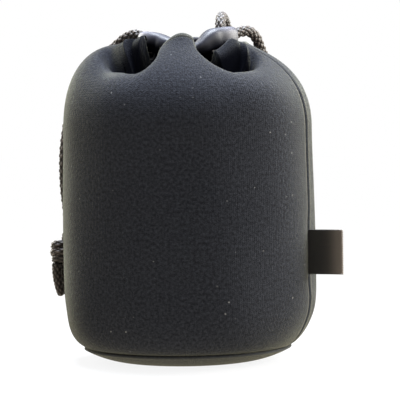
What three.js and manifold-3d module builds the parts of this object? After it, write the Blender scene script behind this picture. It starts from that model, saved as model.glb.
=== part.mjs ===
// Neoprene drawstring pouch for a camera lens, standing upright on its round base.
// Units are millimetres and +Z is up. The origin is the middle of the flat underside.
// Azimuth is measured from +X towards +Y, in degrees; the front of the pouch faces -Y.

import * as THREE from "three";
import { mergeVertices } from "three/addons/utils/BufferGeometryUtils.js";
import Module from "manifold-3d";

const wasm = await Module();
wasm.setup();

// Body: a round wall of two panels on a round base
const BODY_RADIUS = 45;
const WALL_THICKNESS = 5;
const RIM_THICKNESS = 4;
const FOOT_THICKNESS = 3.4;
const BASE_RADIUS = 37.8;
const BASE_FLAT_RADIUS = 24;
const BASE_THICKNESS = 5.2;
const BASE_SEAM_INSET = 0.5;
const FOOT_HEIGHT = 21;
const FOOT_FLARE = 2.7;
const FOOT_BULGE = 5;
const SHOULDER_HEIGHT = 84;
const SEW_GAP = 0.3;

// Side seams: where the two panels meet, each in a shallow groove
const RIGHT_SEAM_AZIMUTH = -17;
const PANEL_SPAN = 180;
const SEAM_SPLIT = 0.9;
const GROOVE_DEPTH = 1.2;
const GROOVE_WIDTH = 2.5;
const TAPE_WIDTH = 12;
const TAPE_THICKNESS = 0.8;
const BASE_TAPE_WIDTH = 3.4;
const BASE_TAPE_HEIGHT = 3.6;

// Gathered top: four lobes with four pleats drawn in between them, heights above the shoulder
const FRONT_LOBE_RISE = 34;
const BACK_LOBE_RISE = 31;
const LEFT_LOBE_RISE = 30;
const RIGHT_LOBE_RISE = 28;
const LOBE_RIM_RADIUS = 22;
const LOBE_CROWN_RADIUS = 25;
const LOBE_CROWN_RISE = 27;
const LOBE_SHOULDER_RISE = 23;
const PLEAT_RIM_RADIUS = 14.5;
const PLEAT_RIM_RISE = 17;
const PLEAT_CROWN_RADIUS = 36;
const PLEAT_CROWN_RISE = 21;
const PLEAT_SHOULDER_RISE = 15;
const FRONT_PLEAT_FULLNESS = 3.2;
const PLEAT_SHARPNESS = 4;

// Drawstring and the coated casing that it runs in
const CORD_DIAMETER = 3.6;
const CORD_CLEARANCE = 0.3;
const CASING_RADIUS = 15;
const CASING_TUCK = 1.6;
const CASING_RISE = 27.6;
const CASING_HEIGHT = 9.6;
const CASING_WALL = 0.9;
const CASING_END_SPAN = 34;
const FRONT_CASING_ENDS = [
  { azimuth: 170, flare: 1.3, rise: 0.8 },
  { azimuth: 344, flare: 1.3, rise: 2.2 },
];
const BACK_CASING_ENDS = [
  { azimuth: 32, flare: -1.3, rise: -1.2 },
  { azimuth: 138, flare: 4.2, rise: -0.6 },
];

// Spring cord lock behind the right shoulder; its plunger slides across the two cords
const LOCK_AZIMUTH = 52;
const LOCK_HEIGHT = 70;
const LOCK_BARREL_RADIUS = 6.2;
const LOCK_BORE_RADIUS = 4.4;
const LOCK_END_WALL = 1.4;
const LOCK_END_ROUND = 1.6;
const LOCK_MOUTH_WALL = 3.6;
const LOCK_COLLAR = 2.4;
const LOCK_EDGE = 0.5;
const LOCK_WALL_GAP = 0.4;
const PLUNGER_CLEARANCE = 0.3;
const PLUNGER_WEB = 1.6;
const PLUNGER_TRAVEL = 3.2;
const PLUNGER_STAND_OUT = 5;
const PLUNGER_DOME = 1.8;
const STRAND_SPACING = 4;
const SPRING_LENGTH = 5.4;
const SPRING_WIRE = 0.6;
const SPRING_RADIUS = 3;
const SPRING_TURNS = 3;

// Knotted cord ends on the left
const KNOT_AZIMUTH = 158;
const KNOT_HEIGHT = 37;
const KNOT_RADIUS = 4.6;
const KNOT_LENGTH = 9;
const TAIL_LENGTH = 11.2;
const TAIL_SPLAY = 0.3;

// Woven tag folded double and sewn into the right seam
const TAG_LENGTH = 13;
const TAG_HEIGHT = 16;
const TAG_MIDDLE_HEIGHT = 39.4;
const TAG_PLY = 0.5;
const TAG_SLIT = 0.35;

// Webbing belt loop sewn to the back
const LOOP_AZIMUTH = 90;
const LOOP_WIDTH = 22;
const LOOP_THICKNESS = 1.6;
const LOOP_BOTTOM = 28;
const LOOP_TOP = 86;
const LOOP_SEWN_LENGTH = 8;
const LOOP_STAND_OFF = 8.5;

// Facets
const PANEL_COLUMNS = 28;
const FOOT_ROWS = 4;
const BARREL_ROWS = 3;
const GATHER_ROWS = 11;
const CASING_STEPS = 16;
const CASING_SIDES = 10;
const CORD_SIDES = 8;
const LEFT_CORD_STEPS = 21;
const PULL_LOOP_STEPS = 56;
const TAIL_STEPS = 3;
const ROUND_SEGMENTS = 28;
const SPRING_STEPS_PER_TURN = 8;
const SPRING_SIDES = 5;

// Routes of the free cord, from the mouth casing outwards
const LEFT_FRONT_ROUTE = [
  [-16.25, 3.65, 112.65], [-16.6, 5.2, 113.3], [-18.5, 7.6, 114.9], [-21.8, 9.7, 115.2],
  [-25.4, 11.6, 113.6], [-29.2, 13.4, 110.8], [-33.2, 15, 107.3], [-37.2, 16.1, 103],
  [-40.9, 16.6, 98], [-43.6, 16.7, 91.8], [-44.6, 16.6, 84], [-44.8, 16.5, 72],
  [-44.8, 16.5, 57], [-44.8, 16.5, 41.9],
];
const LEFT_BACK_ROUTE = [
  [-13.9, 12.1, 110.9], [-17.2, 12.4, 110.5], [-20.8, 13.8, 109.6], [-24.6, 15.8, 108],
  [-28.8, 17.9, 105.9], [-33.5, 20, 103.5], [-37.9, 21.2, 99.7], [-41.3, 21.3, 94.3],
  [-42.8, 20.8, 87], [-43.3, 20.6, 78], [-43.3, 20.6, 60], [-43.3, 20.6, 41.9],
];
const PULL_LOOP_RIGHT_ROUTE = [
  [15.74, -3.88, 114.1], [17.2, -1.8, 115.2], [19.6, 0.8, 116.4], [22.6, 3.2, 116.9], [25.4, 6.2, 115.5],
  [27.6, 10, 112.2], [29.4, 14.6, 108.8], [31.4, 19.6, 105.9], [33.4, 24.8, 103.4], [34.8, 29.8, 100.6],
  [35.2, 34, 96.8], [34.5, 37.6, 92.4],
];
const STRAND_HEIGHTS = [86, 80, 74, 68, 62, 57];
const PULL_LOOP_BIGHT = [
  [2.6, 50.9, 52], [4.6, 49.6, 47], [6.8, 48.5, 42], [7.3, 47.9, 37], [5.2, 47.5, 32.6],
  [0, 47.4, 30.4],
];
const PULL_LOOP_BACK_ROUTE = [
  [28.6, 40.9, 92.6], [26.2, 38, 97.6], [23.6, 34.6, 101.8], [20.8, 30.6, 105.2],
  [18.4, 26.6, 108.6], [16.4, 22.9, 112.8], [15, 19.2, 117.4], [14, 15, 121.1],
  [13.4, 10, 122.9], [13.1, 5.2, 122.5], [12.9, 1.6, 120], [12.8, 0.2, 116.4], [12.7, 0.4, 113],
  [12.2, 2, 110.4], [11.5, 4.2, 109.7], [11, 5.8, 110.15],
];

const radians = THREE.MathUtils.degToRad;
const seamRadius = BASE_RADIUS - BASE_SEAM_INSET;
const seamHeight = BASE_THICKNESS + SEW_GAP;
const rightSeam = RIGHT_SEAM_AZIMUTH;
const leftSeam = RIGHT_SEAM_AZIMUTH + PANEL_SPAN;

function polar(azimuth, radius, height) {
  const angle = radians(azimuth);
  return new THREE.Vector3(radius * Math.cos(angle), radius * Math.sin(angle), height);
}

function cubic(a, b, c, d, t) {
  const s = 1 - t;
  return s * s * s * a + 3 * s * s * t * b + 3 * s * t * t * c + t * t * t * d;
}

// How far a direction belongs to a pleat: 0 on the middle of a lobe, 1 on the middle of a pleat
function pleatShare(azimuth) {
  return Math.abs(Math.sin(2 * radians(azimuth))) ** PLEAT_SHARPNESS;
}

// Rim height of the lobes, carried smoothly from each lobe to the next
function lobeRise(azimuth) {
  const angle = radians(azimuth);
  const sides = (RIGHT_LOBE_RISE + LEFT_LOBE_RISE) / 2;
  const ends = (FRONT_LOBE_RISE + BACK_LOBE_RISE) / 2;
  const across = (RIGHT_LOBE_RISE - LEFT_LOBE_RISE) / 2 * Math.cos(angle);
  const along = (BACK_LOBE_RISE - FRONT_LOBE_RISE) / 2 * Math.sin(angle);
  return (sides + ends) / 2 + across + along + (sides - ends) / 2 * Math.cos(2 * angle);
}

function degreesBetween(a, b) {
  return Math.abs(THREE.MathUtils.euclideanModulo(a - b + 180, 360) - 180);
}

// Depth of the groove along the nearer side seam
function grooveDepth(azimuth) {
  const nearest = Math.min(degreesBetween(azimuth, rightSeam), degreesBetween(azimuth, leftSeam));
  const arc = radians(nearest) * BODY_RADIUS;
  return GROOVE_DEPTH * Math.exp(-((arc / GROOVE_WIDTH) ** 2));
}

// Radius and height of the outer wall; t runs 0..1 up the foot, 1..2 up the barrel, 2..3 over the gather
function wallProfile(azimuth, t) {
  const footTop = seamHeight + FOOT_HEIGHT;
  if (t <= 1) {
    return {
      radius: cubic(seamRadius, seamRadius + FOOT_FLARE, BODY_RADIUS, BODY_RADIUS, t),
      height: cubic(seamHeight, seamHeight, seamHeight + FOOT_BULGE, footTop, t),
    };
  }
  if (t <= 2) {
    return { radius: BODY_RADIUS, height: THREE.MathUtils.lerp(footTop, SHOULDER_HEIGHT, t - 1) };
  }
  const u = t - 2;
  const share = pleatShare(azimuth);
  const lobeRadius = cubic(BODY_RADIUS, BODY_RADIUS, LOBE_CROWN_RADIUS, LOBE_RIM_RADIUS, u);
  const lobeLift = cubic(0, LOBE_SHOULDER_RISE, LOBE_CROWN_RISE, lobeRise(azimuth), u);
  const pleatRadius = cubic(BODY_RADIUS, BODY_RADIUS, PLEAT_CROWN_RADIUS, PLEAT_RIM_RADIUS, u);
  const fullness = FRONT_PLEAT_FULLNESS * Math.max(-Math.sin(radians(azimuth)), 0);
  const shoulder = PLEAT_SHOULDER_RISE + fullness;
  const crown = PLEAT_CROWN_RISE + fullness;
  const pleatLift = cubic(0, shoulder, crown, PLEAT_RIM_RISE, u);
  return {
    radius: THREE.MathUtils.lerp(lobeRadius, pleatRadius, share),
    height: SHOULDER_HEIGHT + THREE.MathUtils.lerp(lobeLift, pleatLift, share),
  };
}

function smoothWallPoint(azimuth, t) {
  const { radius, height } = wallProfile(azimuth, t);
  return polar(azimuth, radius, height);
}

function wallNormal(azimuth, t) {
  const step = 0.01;
  const below = smoothWallPoint(azimuth, Math.max(t - step, 0));
  const above = smoothWallPoint(azimuth, Math.min(t + step, 3));
  const before = smoothWallPoint(azimuth - 1, t);
  const after = smoothWallPoint(azimuth + 1, t);
  return after.sub(before).cross(above.sub(below)).normalize();
}

// The wall is squeezed thinner at the base seam and where it is drawn together
function wallThickness(t) {
  const foot = THREE.MathUtils.smoothstep(t, 0, 1);
  const gather = THREE.MathUtils.smoothstep(t, 2, 3);
  const lower = THREE.MathUtils.lerp(FOOT_THICKNESS, WALL_THICKNESS, foot);
  return THREE.MathUtils.lerp(lower, RIM_THICKNESS, gather);
}

function outerWallPoint(azimuth, t) {
  const { radius, height } = wallProfile(azimuth, t);
  const fade = THREE.MathUtils.smoothstep(t, 0, 0.5) - THREE.MathUtils.smoothstep(t, 2, 2.8);
  return polar(azimuth, radius - grooveDepth(azimuth) * fade, height);
}

// A point inside the wall: depth is measured inwards from the inner face
function innerWallPoint(azimuth, t, depth = 0) {
  const inset = wallThickness(t) + depth;
  return smoothWallPoint(azimuth, t).addScaledVector(wallNormal(azimuth, t), -inset);
}

function geometryFrom(points, triangles) {
  const geometry = new THREE.BufferGeometry();
  geometry.setAttribute("position", new THREE.Float32BufferAttribute(points.flatMap((p) => p.toArray()), 3));
  geometry.setIndex(triangles);
  return geometry;
}

// Closed shell between two equal grids of points; columns run to the left of the outward normal's row
function shellBetween(outer, inner) {
  const rows = outer.length;
  const columns = outer[0].length;
  const points = [...outer.flat(), ...inner.flat()];
  const at = (row, column) => row * columns + column;
  const back = (row, column) => rows * columns + at(row, column);
  const triangles = [];
  const quad = (a, b, c, d) => triangles.push(a, b, c, a, c, d);
  for (let i = 0; i < rows - 1; i += 1) {
    for (let j = 0; j < columns - 1; j += 1) {
      quad(at(i, j), at(i, j + 1), at(i + 1, j + 1), at(i + 1, j));
      quad(back(i, j), back(i + 1, j), back(i + 1, j + 1), back(i, j + 1));
    }
    quad(at(i, 0), at(i + 1, 0), back(i + 1, 0), back(i, 0));
    quad(at(i, columns - 1), back(i, columns - 1), back(i + 1, columns - 1), at(i + 1, columns - 1));
  }
  for (let j = 0; j < columns - 1; j += 1) {
    quad(at(0, j), back(0, j), back(0, j + 1), at(0, j + 1));
    quad(at(rows - 1, j), at(rows - 1, j + 1), back(rows - 1, j + 1), back(rows - 1, j));
  }
  return geometryFrom(points, triangles);
}

// Closed pipe wall between an outer and an inner ring carried along a path
function pipeBetween(outerRings, innerRings) {
  const wrap = (ring) => [...ring, ring[0]];
  return mergeVertices(shellBetween(outerRings.map(wrap), innerRings.map(wrap)), 1e-4);
}

function roundSection(radius, sides) {
  const corners = Array.from({ length: sides }, (_, i) => {
    const angle = 2 * Math.PI * i / sides;
    return new THREE.Vector2(radius * Math.cos(angle), radius * Math.sin(angle));
  });
  return new THREE.Shape(corners);
}

// Round cord along a smooth curve through the points
function cordAlong(points, steps) {
  const extrudePath = new THREE.CatmullRomCurve3(points, false, "centripetal");
  return new THREE.ExtrudeGeometry(roundSection(CORD_DIAMETER / 2, CORD_SIDES), { steps, extrudePath });
}

function solidFrom(geometry) {
  const bare = geometry.clone();
  bare.deleteAttribute("normal");
  bare.deleteAttribute("uv");
  const merged = mergeVertices(bare, 1e-4);
  const vertProperties = new Float32Array(merged.attributes.position.array);
  const triVerts = new Uint32Array(merged.index.array);
  return new wasm.Manifold(new wasm.Mesh({ numProp: 3, vertProperties, triVerts }));
}

function cutFrom(geometry, cutter) {
  const mesh = solidFrom(geometry).subtract(solidFrom(cutter)).getMesh();
  const result = new THREE.BufferGeometry();
  result.setAttribute("position", new THREE.BufferAttribute(new Float32Array(mesh.vertProperties), 3));
  result.setIndex(Array.from(mesh.triVerts));
  return result;
}

const finishes = {
  neoprene: { color: 0x24272c, roughness: 0.95, metalness: 0 },
  coated: { color: 0x1b1e2b, roughness: 0.35, metalness: 0 },
  binding: { color: 0x17181a, roughness: 0.9, metalness: 0 },
  cord: { color: 0x2b2523, roughness: 0.7, metalness: 0 },
  plastic: { color: 0x131416, roughness: 0.45, metalness: 0 },
  steel: { color: 0xb4b6b8, roughness: 0.35, metalness: 1 },
  woven: { color: 0x0e0e10, roughness: 0.8, metalness: 0 },
};

const pouch = new THREE.Group();

function add(name, geometry, finish, parent = pouch) {
  const mesh = new THREE.Mesh(geometry, new THREE.MeshStandardMaterial(finishes[finish]));
  mesh.name = name;
  parent.add(mesh);
  return mesh;
}

// Body panels

function panelRows() {
  const foot = Array.from({ length: FOOT_ROWS }, (_, i) => i / FOOT_ROWS);
  const barrel = Array.from({ length: BARREL_ROWS }, (_, i) => 1 + i / BARREL_ROWS);
  const gather = Array.from({ length: GATHER_ROWS + 1 }, (_, i) => 2 + i / GATHER_ROWS);
  return [...foot, ...barrel, ...gather];
}

// Columns are even, with closer ones beside each seam so that the groove is round
function panelAzimuths(start, end) {
  const even = Array.from({ length: PANEL_COLUMNS + 1 }, (_, i) => {
    return THREE.MathUtils.lerp(start, end, i / PANEL_COLUMNS);
  });
  const grooveDegrees = THREE.MathUtils.radToDeg(GROOVE_WIDTH / BODY_RADIUS);
  const beside = [0.5 * grooveDegrees, grooveDegrees];
  const extra = beside.flatMap((d) => [start + d, end - d]);
  return [...even, ...extra].sort((a, b) => a - b);
}

function panel(start, end) {
  const azimuths = panelAzimuths(start + SEAM_SPLIT / 2, end - SEAM_SPLIT / 2);
  const rows = panelRows();
  const outer = rows.map((t) => azimuths.map((azimuth) => outerWallPoint(azimuth, t)));
  const inner = rows.map((t) => azimuths.map((azimuth) => innerWallPoint(azimuth, t)));
  return shellBetween(outer, inner);
}

function basePanel() {
  const bowl = BASE_RADIUS - BASE_FLAT_RADIUS;
  const lipHeight = BASE_THICKNESS - 2 * BASE_SEAM_INSET;
  const profile = new THREE.Path();
  profile.moveTo(0, 0);
  profile.lineTo(BASE_FLAT_RADIUS, 0);
  profile.quadraticCurveTo(BASE_FLAT_RADIUS + bowl / 2, 0, BASE_RADIUS, lipHeight);
  profile.quadraticCurveTo(BASE_RADIUS, BASE_THICKNESS - BASE_SEAM_INSET / 2, seamRadius, BASE_THICKNESS);
  profile.lineTo(0, BASE_THICKNESS);
  const curvePoints = 4;
  const lathe = new THREE.LatheGeometry(profile.getPoints(curvePoints), ROUND_SEGMENTS);
  return lathe.rotateX(Math.PI / 2);
}

add("front_panel", panel(leftSeam, rightSeam + 360), "neoprene");
add("back_panel", panel(rightSeam, leftSeam), "neoprene");
add("base_panel", basePanel(), "neoprene");

// Seam tapes inside the body

function sideTape(azimuth) {
  const startRow = 0.55;
  const endRow = 2.3;
  const rows = 12;
  const columns = 4;
  const half = THREE.MathUtils.radToDeg(TAPE_WIDTH / 2 / (BODY_RADIUS - WALL_THICKNESS));
  const grid = (depth) => Array.from({ length: rows + 1 }, (_, i) => {
    const t = THREE.MathUtils.lerp(startRow, endRow, i / rows);
    return Array.from({ length: columns + 1 }, (__, j) => {
      const across = azimuth + THREE.MathUtils.lerp(-half, half, j / columns);
      return innerWallPoint(across, t, depth);
    });
  });
  return shellBetween(grid(SEW_GAP), grid(SEW_GAP + TAPE_THICKNESS));
}

function baseTape() {
  const outerRadius = seamRadius - SEW_GAP;
  const innerRadius = outerRadius - BASE_TAPE_WIDTH;
  const bottom = BASE_THICKNESS + SEW_GAP;
  const top = bottom + BASE_TAPE_HEIGHT;
  const bevel = BASE_TAPE_HEIGHT / 3;
  const section = [
    [innerRadius, bottom], [outerRadius, bottom], [outerRadius, top - bevel], [outerRadius - bevel, top],
    [innerRadius + bevel, top], [innerRadius, top - bevel], [innerRadius, bottom],
  ];
  const points = section.map(([r, z]) => new THREE.Vector2(r, z));
  return new THREE.LatheGeometry(points, ROUND_SEGMENTS).rotateX(Math.PI / 2);
}

add("right_seam_tape", sideTape(rightSeam), "binding");
add("left_seam_tape", sideTape(leftSeam), "binding");
add("base_seam_tape", baseTape(), "binding");

// Drawstring casing: a coated sleeve inside the gathered rim, in a front and a back half

// Middle of the tunnel; near each end it flares out and rises to let the cord leave over the rim
function casingPoint(azimuth, ends) {
  let radius = CASING_RADIUS - CASING_TUCK * pleatShare(azimuth);
  let height = SHOULDER_HEIGHT + CASING_RISE;
  for (const end of ends) {
    const nearness = (1 - Math.min(Math.abs(azimuth - end.azimuth) / CASING_END_SPAN, 1)) ** 2;
    radius += end.flare * nearness;
    height += end.rise * nearness;
  }
  return polar(azimuth, radius, height);
}

function casingPath(ends) {
  return Array.from({ length: CASING_STEPS + 1 }, (_, i) => {
    return casingPoint(THREE.MathUtils.lerp(ends[0].azimuth, ends[1].azimuth, i / CASING_STEPS), ends);
  });
}

// Rounded oblong section, upright across the path
function sectionRings(path, halfWidth, halfHeight) {
  const curve = new THREE.CatmullRomCurve3(path);
  const up = new THREE.Vector3(0, 0, 1);
  const roundness = 0.7;
  const soften = (value) => Math.sign(value) * Math.abs(value) ** roundness;
  return path.map((middle, i) => {
    const along = curve.getTangent(i / (path.length - 1));
    const outward = along.clone().cross(up).normalize();
    const upright = outward.clone().cross(along).normalize();
    return Array.from({ length: CASING_SIDES }, (_, k) => {
      const angle = 2 * Math.PI * k / CASING_SIDES;
      return middle.clone()
        .addScaledVector(outward, halfWidth * soften(Math.cos(angle)))
        .addScaledVector(upright, -halfHeight * soften(Math.sin(angle)));
    });
  });
}

const tunnelHalfWidth = CORD_DIAMETER / 2 + CORD_CLEARANCE;

function casing(ends) {
  const path = casingPath(ends);
  const outer = sectionRings(path, tunnelHalfWidth + CASING_WALL, CASING_HEIGHT / 2);
  const inner = sectionRings(path, tunnelHalfWidth, CASING_HEIGHT / 2 - CASING_WALL);
  return pipeBetween(outer, inner);
}

add("front_casing", casing(FRONT_CASING_ENDS), "coated");
add("back_casing", casing(BACK_CASING_ENDS), "coated");
add("cord_front_run", cordAlong(casingPath(FRONT_CASING_ENDS), CASING_STEPS), "cord");
add("cord_back_run", cordAlong(casingPath(BACK_CASING_ENDS), CASING_STEPS), "cord");

// Free cord

function routePoints(route) {
  return route.map(([x, y, z]) => new THREE.Vector3(x, y, z));
}

const lockRadius = BODY_RADIUS + LOCK_WALL_GAP + LOCK_BARREL_RADIUS;

// Point beside the lock: across is along its plunger, out is the distance from the pouch's axis
function besideLock(across, out, height) {
  const angle = radians(LOCK_AZIMUTH);
  const alongPlunger = new THREE.Vector3(Math.sin(angle), -Math.cos(angle), 0);
  return polar(LOCK_AZIMUTH, out, height).addScaledVector(alongPlunger, across);
}

function strandPoints(side) {
  return STRAND_HEIGHTS.map((height) => besideLock(side * STRAND_SPACING / 2, lockRadius, height));
}

function pullLoopPoints() {
  const bight = PULL_LOOP_BIGHT.map(([across, out, height]) => besideLock(across, out, height));
  const mirrored = PULL_LOOP_BIGHT.slice(0, -1).reverse();
  const bightBack = mirrored.map(([across, out, height]) => besideLock(-across, out, height));
  return [
    ...routePoints(PULL_LOOP_RIGHT_ROUTE), ...strandPoints(1), ...bight,
    ...bightBack, ...strandPoints(-1).reverse(), ...routePoints(PULL_LOOP_BACK_ROUTE),
  ];
}

add("cord_left_front", cordAlong(routePoints(LEFT_FRONT_ROUTE), LEFT_CORD_STEPS), "cord");
add("cord_left_back", cordAlong(routePoints(LEFT_BACK_ROUTE), LEFT_CORD_STEPS), "cord");
add("cord_pull_loop", cordAlong(pullLoopPoints(), PULL_LOOP_STEPS), "cord");

// Knot of the two cord ends, with their cut tails below it

const knotOut = BODY_RADIUS + SEW_GAP + KNOT_RADIUS;

function knot() {
  const half = KNOT_LENGTH / 2;
  const flat = 0.62 * KNOT_RADIUS;
  const waist = 0.88 * KNOT_RADIUS;
  const profile = new THREE.Path();
  profile.moveTo(0, -half);
  profile.lineTo(flat, -half);
  profile.bezierCurveTo(KNOT_RADIUS, -half, KNOT_RADIUS, -half / 3, waist, 0);
  profile.bezierCurveTo(KNOT_RADIUS, half / 3, KNOT_RADIUS, half, flat, half);
  profile.lineTo(0, half);
  const curvePoints = 4;
  return new THREE.LatheGeometry(profile.getPoints(curvePoints), ROUND_SEGMENTS / 2).rotateX(Math.PI / 2);
}

function tail(side) {
  const top = KNOT_HEIGHT - KNOT_LENGTH / 2 - SEW_GAP;
  const spread = side * (CORD_DIAMETER / 2 + SEW_GAP);
  const angle = radians(KNOT_AZIMUTH);
  const tangent = new THREE.Vector3(-Math.sin(angle), Math.cos(angle), 0);
  const points = Array.from({ length: TAIL_STEPS + 1 }, (_, i) => {
    const share = i / TAIL_STEPS;
    const middle = polar(KNOT_AZIMUTH, knotOut, top - share * TAIL_LENGTH);
    return middle.addScaledVector(tangent, spread * (1 + TAIL_SPLAY * share));
  });
  return cordAlong(points, TAIL_STEPS);
}

add("end_knot", knot(), "cord").position.copy(polar(KNOT_AZIMUTH, knotOut, KNOT_HEIGHT));
add("cord_tail_front", tail(1), "cord");
add("cord_tail_back", tail(-1), "cord");

// Cord lock: modelled along its plunger axis (local X), cords passing along local Z

const slotHalfWidth = CORD_DIAMETER / 2 + CORD_CLEARANCE;
const slotHalfLength = STRAND_SPACING / 2 + CORD_DIAMETER / 2 + CORD_CLEARANCE;
const plungerInnerEnd = -slotHalfLength - PLUNGER_WEB;
const boreEnd = plungerInnerEnd - SEW_GAP - SPRING_LENGTH - SEW_GAP;
const barrelMouth = slotHalfLength + LOCK_MOUTH_WALL;
const plungerTop = barrelMouth + PLUNGER_STAND_OUT;

// Turned solid with its axis along local X; the profile is given as [x, radius]
function turned(profile) {
  const points = profile.map(([x, radius]) => new THREE.Vector2(radius, x));
  return new THREE.LatheGeometry(points, ROUND_SEGMENTS).rotateZ(-Math.PI / 2);
}

// Oblong bar along local Z that cuts the way for the cords
function cordWay(fromX, toX, halfLength) {
  const shape = new THREE.Shape();
  shape.moveTo(fromX + slotHalfWidth, -slotHalfWidth);
  shape.lineTo(toX - slotHalfWidth, -slotHalfWidth);
  shape.absarc(toX - slotHalfWidth, 0, slotHalfWidth, -Math.PI / 2, Math.PI / 2);
  shape.lineTo(fromX + slotHalfWidth, slotHalfWidth);
  shape.absarc(fromX + slotHalfWidth, 0, slotHalfWidth, Math.PI / 2, 1.5 * Math.PI);
  const depth = 2 * halfLength;
  const bar = new THREE.ExtrudeGeometry(shape, { depth, bevelEnabled: false, curveSegments: 6 });
  return bar.translate(0, 0, -halfLength);
}

function lockBarrel() {
  const closedEnd = boreEnd - LOCK_END_WALL;
  const round = LOCK_END_ROUND;
  const outer = LOCK_BARREL_RADIUS;
  const neck = outer - LOCK_EDGE;
  const collarStart = barrelMouth - LOCK_COLLAR;
  const body = turned([
    [closedEnd, 0], [closedEnd, outer - round], [closedEnd + 0.3 * round, outer - 0.3 * round],
    [closedEnd + round, outer], [-slotHalfLength - 2 * LOCK_EDGE, outer], [-slotHalfLength, neck],
    [collarStart - LOCK_EDGE, neck], [collarStart, outer],
    [barrelMouth - LOCK_EDGE, outer], [barrelMouth, neck],
    [barrelMouth, LOCK_BORE_RADIUS], [boreEnd, LOCK_BORE_RADIUS], [boreEnd, 0],
  ]);
  return cutFrom(body, cordWay(-slotHalfLength, slotHalfLength, 2 * LOCK_BARREL_RADIUS));
}

function lockPlunger() {
  const radius = LOCK_BORE_RADIUS - PLUNGER_CLEARANCE;
  const dome = PLUNGER_DOME;
  const body = turned([
    [plungerInnerEnd, 0], [plungerInnerEnd, radius - LOCK_EDGE], [plungerInnerEnd + LOCK_EDGE, radius],
    [plungerTop - dome, radius], [plungerTop - 0.45 * dome, 0.86 * radius],
    [plungerTop - 0.1 * dome, 0.55 * radius], [plungerTop, 0],
  ]);
  const wayEnd = slotHalfLength + PLUNGER_TRAVEL;
  return cutFrom(body, cordWay(-slotHalfLength, wayEnd, 2 * LOCK_BARREL_RADIUS));
}

class SpringCurve extends THREE.Curve {
  getPoint(t, target = new THREE.Vector3()) {
    const angle = 2 * Math.PI * SPRING_TURNS * t;
    const half = SPRING_WIRE / 2;
    const x = boreEnd + SEW_GAP + half + t * (SPRING_LENGTH - SPRING_WIRE);
    return target.set(x, SPRING_RADIUS * Math.cos(angle), SPRING_RADIUS * Math.sin(angle));
  }
}

function lockSpring() {
  const steps = SPRING_TURNS * SPRING_STEPS_PER_TURN;
  const wire = roundSection(SPRING_WIRE / 2, SPRING_SIDES);
  return new THREE.ExtrudeGeometry(wire, { steps, extrudePath: new SpringCurve() });
}

const lock = new THREE.Group();
lock.position.copy(polar(LOCK_AZIMUTH, lockRadius, LOCK_HEIGHT));
lock.rotation.z = radians(LOCK_AZIMUTH - 90);
pouch.add(lock);
add("lock_barrel", lockBarrel(), "plastic", lock);
add("lock_plunger", lockPlunger(), "plastic", lock);
add("lock_spring", lockSpring(), "steel", lock);

// Woven tag: one strip folded double; its sewn ends are pinched round the line that it folds on
function sideTag() {
  const half = TAG_PLY + TAG_SLIT / 2;
  const slitAngle = Math.asin(TAG_SLIT / 2 / half);
  const foldMiddle = TAG_LENGTH - half;
  const outline = new THREE.Shape();
  outline.absarc(half, 0, half, Math.PI - slitAngle, Math.PI / 2, true);
  outline.absarc(foldMiddle, 0, half, Math.PI / 2, -Math.PI / 2, true);
  outline.absarc(half, 0, half, 1.5 * Math.PI, Math.PI + slitAngle, true);
  outline.lineTo(foldMiddle, -TAG_SLIT / 2);
  outline.lineTo(foldMiddle, TAG_SLIT / 2);
  const depth = TAG_HEIGHT;
  const strip = new THREE.ExtrudeGeometry(outline, { depth, bevelEnabled: false, curveSegments: 6 });
  return strip.translate(0, 0, -depth / 2);
}

const tag = add("side_tag", sideTag(), "woven");
tag.position.copy(polar(rightSeam, BODY_RADIUS - GROOVE_DEPTH + SEW_GAP, TAG_MIDDLE_HEIGHT));
tag.rotation.z = radians(rightSeam);

// Belt loop: a webbing strip sewn down at both ends, standing off the back in between

function beltLoop() {
  const rows = 14;
  const columns = 4;
  const grid = (lift) => Array.from({ length: rows + 1 }, (_, i) => {
    const height = THREE.MathUtils.lerp(LOOP_BOTTOM, LOOP_TOP, i / rows);
    const fromEnd = Math.min(height - LOOP_BOTTOM, LOOP_TOP - height) - LOOP_SEWN_LENGTH;
    const bow = THREE.MathUtils.smoothstep(fromEnd, 0, 1.5 * LOOP_STAND_OFF);
    const radius = BODY_RADIUS + SEW_GAP + LOOP_STAND_OFF * bow + lift;
    const half = THREE.MathUtils.radToDeg(LOOP_WIDTH / 2 / radius);
    return Array.from({ length: columns + 1 }, (__, j) => {
      return polar(LOOP_AZIMUTH + THREE.MathUtils.lerp(-half, half, j / columns), radius, height);
    });
  });
  return shellBetween(grid(LOOP_THICKNESS), grid(0));
}

add("belt_loop", beltLoop(), "binding");

export default pouch;
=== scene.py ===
"""A round neoprene drawstring pouch for a camera lens: soft pieces, cords and finishes on the solid frame.

Sizes are in metres. +Z is up, the front of the pouch faces -Y, and azimuths run from +X towards +Y.
"""

import bmesh
import bpy
import numpy as np
from mathutils import Matrix


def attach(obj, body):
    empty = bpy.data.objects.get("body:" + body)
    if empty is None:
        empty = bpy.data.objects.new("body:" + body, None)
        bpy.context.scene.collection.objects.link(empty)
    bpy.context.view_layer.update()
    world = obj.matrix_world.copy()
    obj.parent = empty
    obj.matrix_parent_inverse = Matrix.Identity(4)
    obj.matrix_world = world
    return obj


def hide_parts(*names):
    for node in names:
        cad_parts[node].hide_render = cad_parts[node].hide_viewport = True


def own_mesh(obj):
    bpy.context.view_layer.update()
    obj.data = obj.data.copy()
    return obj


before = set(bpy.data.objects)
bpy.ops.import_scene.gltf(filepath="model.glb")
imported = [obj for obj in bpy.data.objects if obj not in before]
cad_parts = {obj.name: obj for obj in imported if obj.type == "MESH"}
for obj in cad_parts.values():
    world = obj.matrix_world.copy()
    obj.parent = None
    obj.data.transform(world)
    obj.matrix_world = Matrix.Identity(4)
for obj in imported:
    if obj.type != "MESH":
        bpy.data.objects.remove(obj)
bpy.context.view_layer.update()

MM = 0.001

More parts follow.
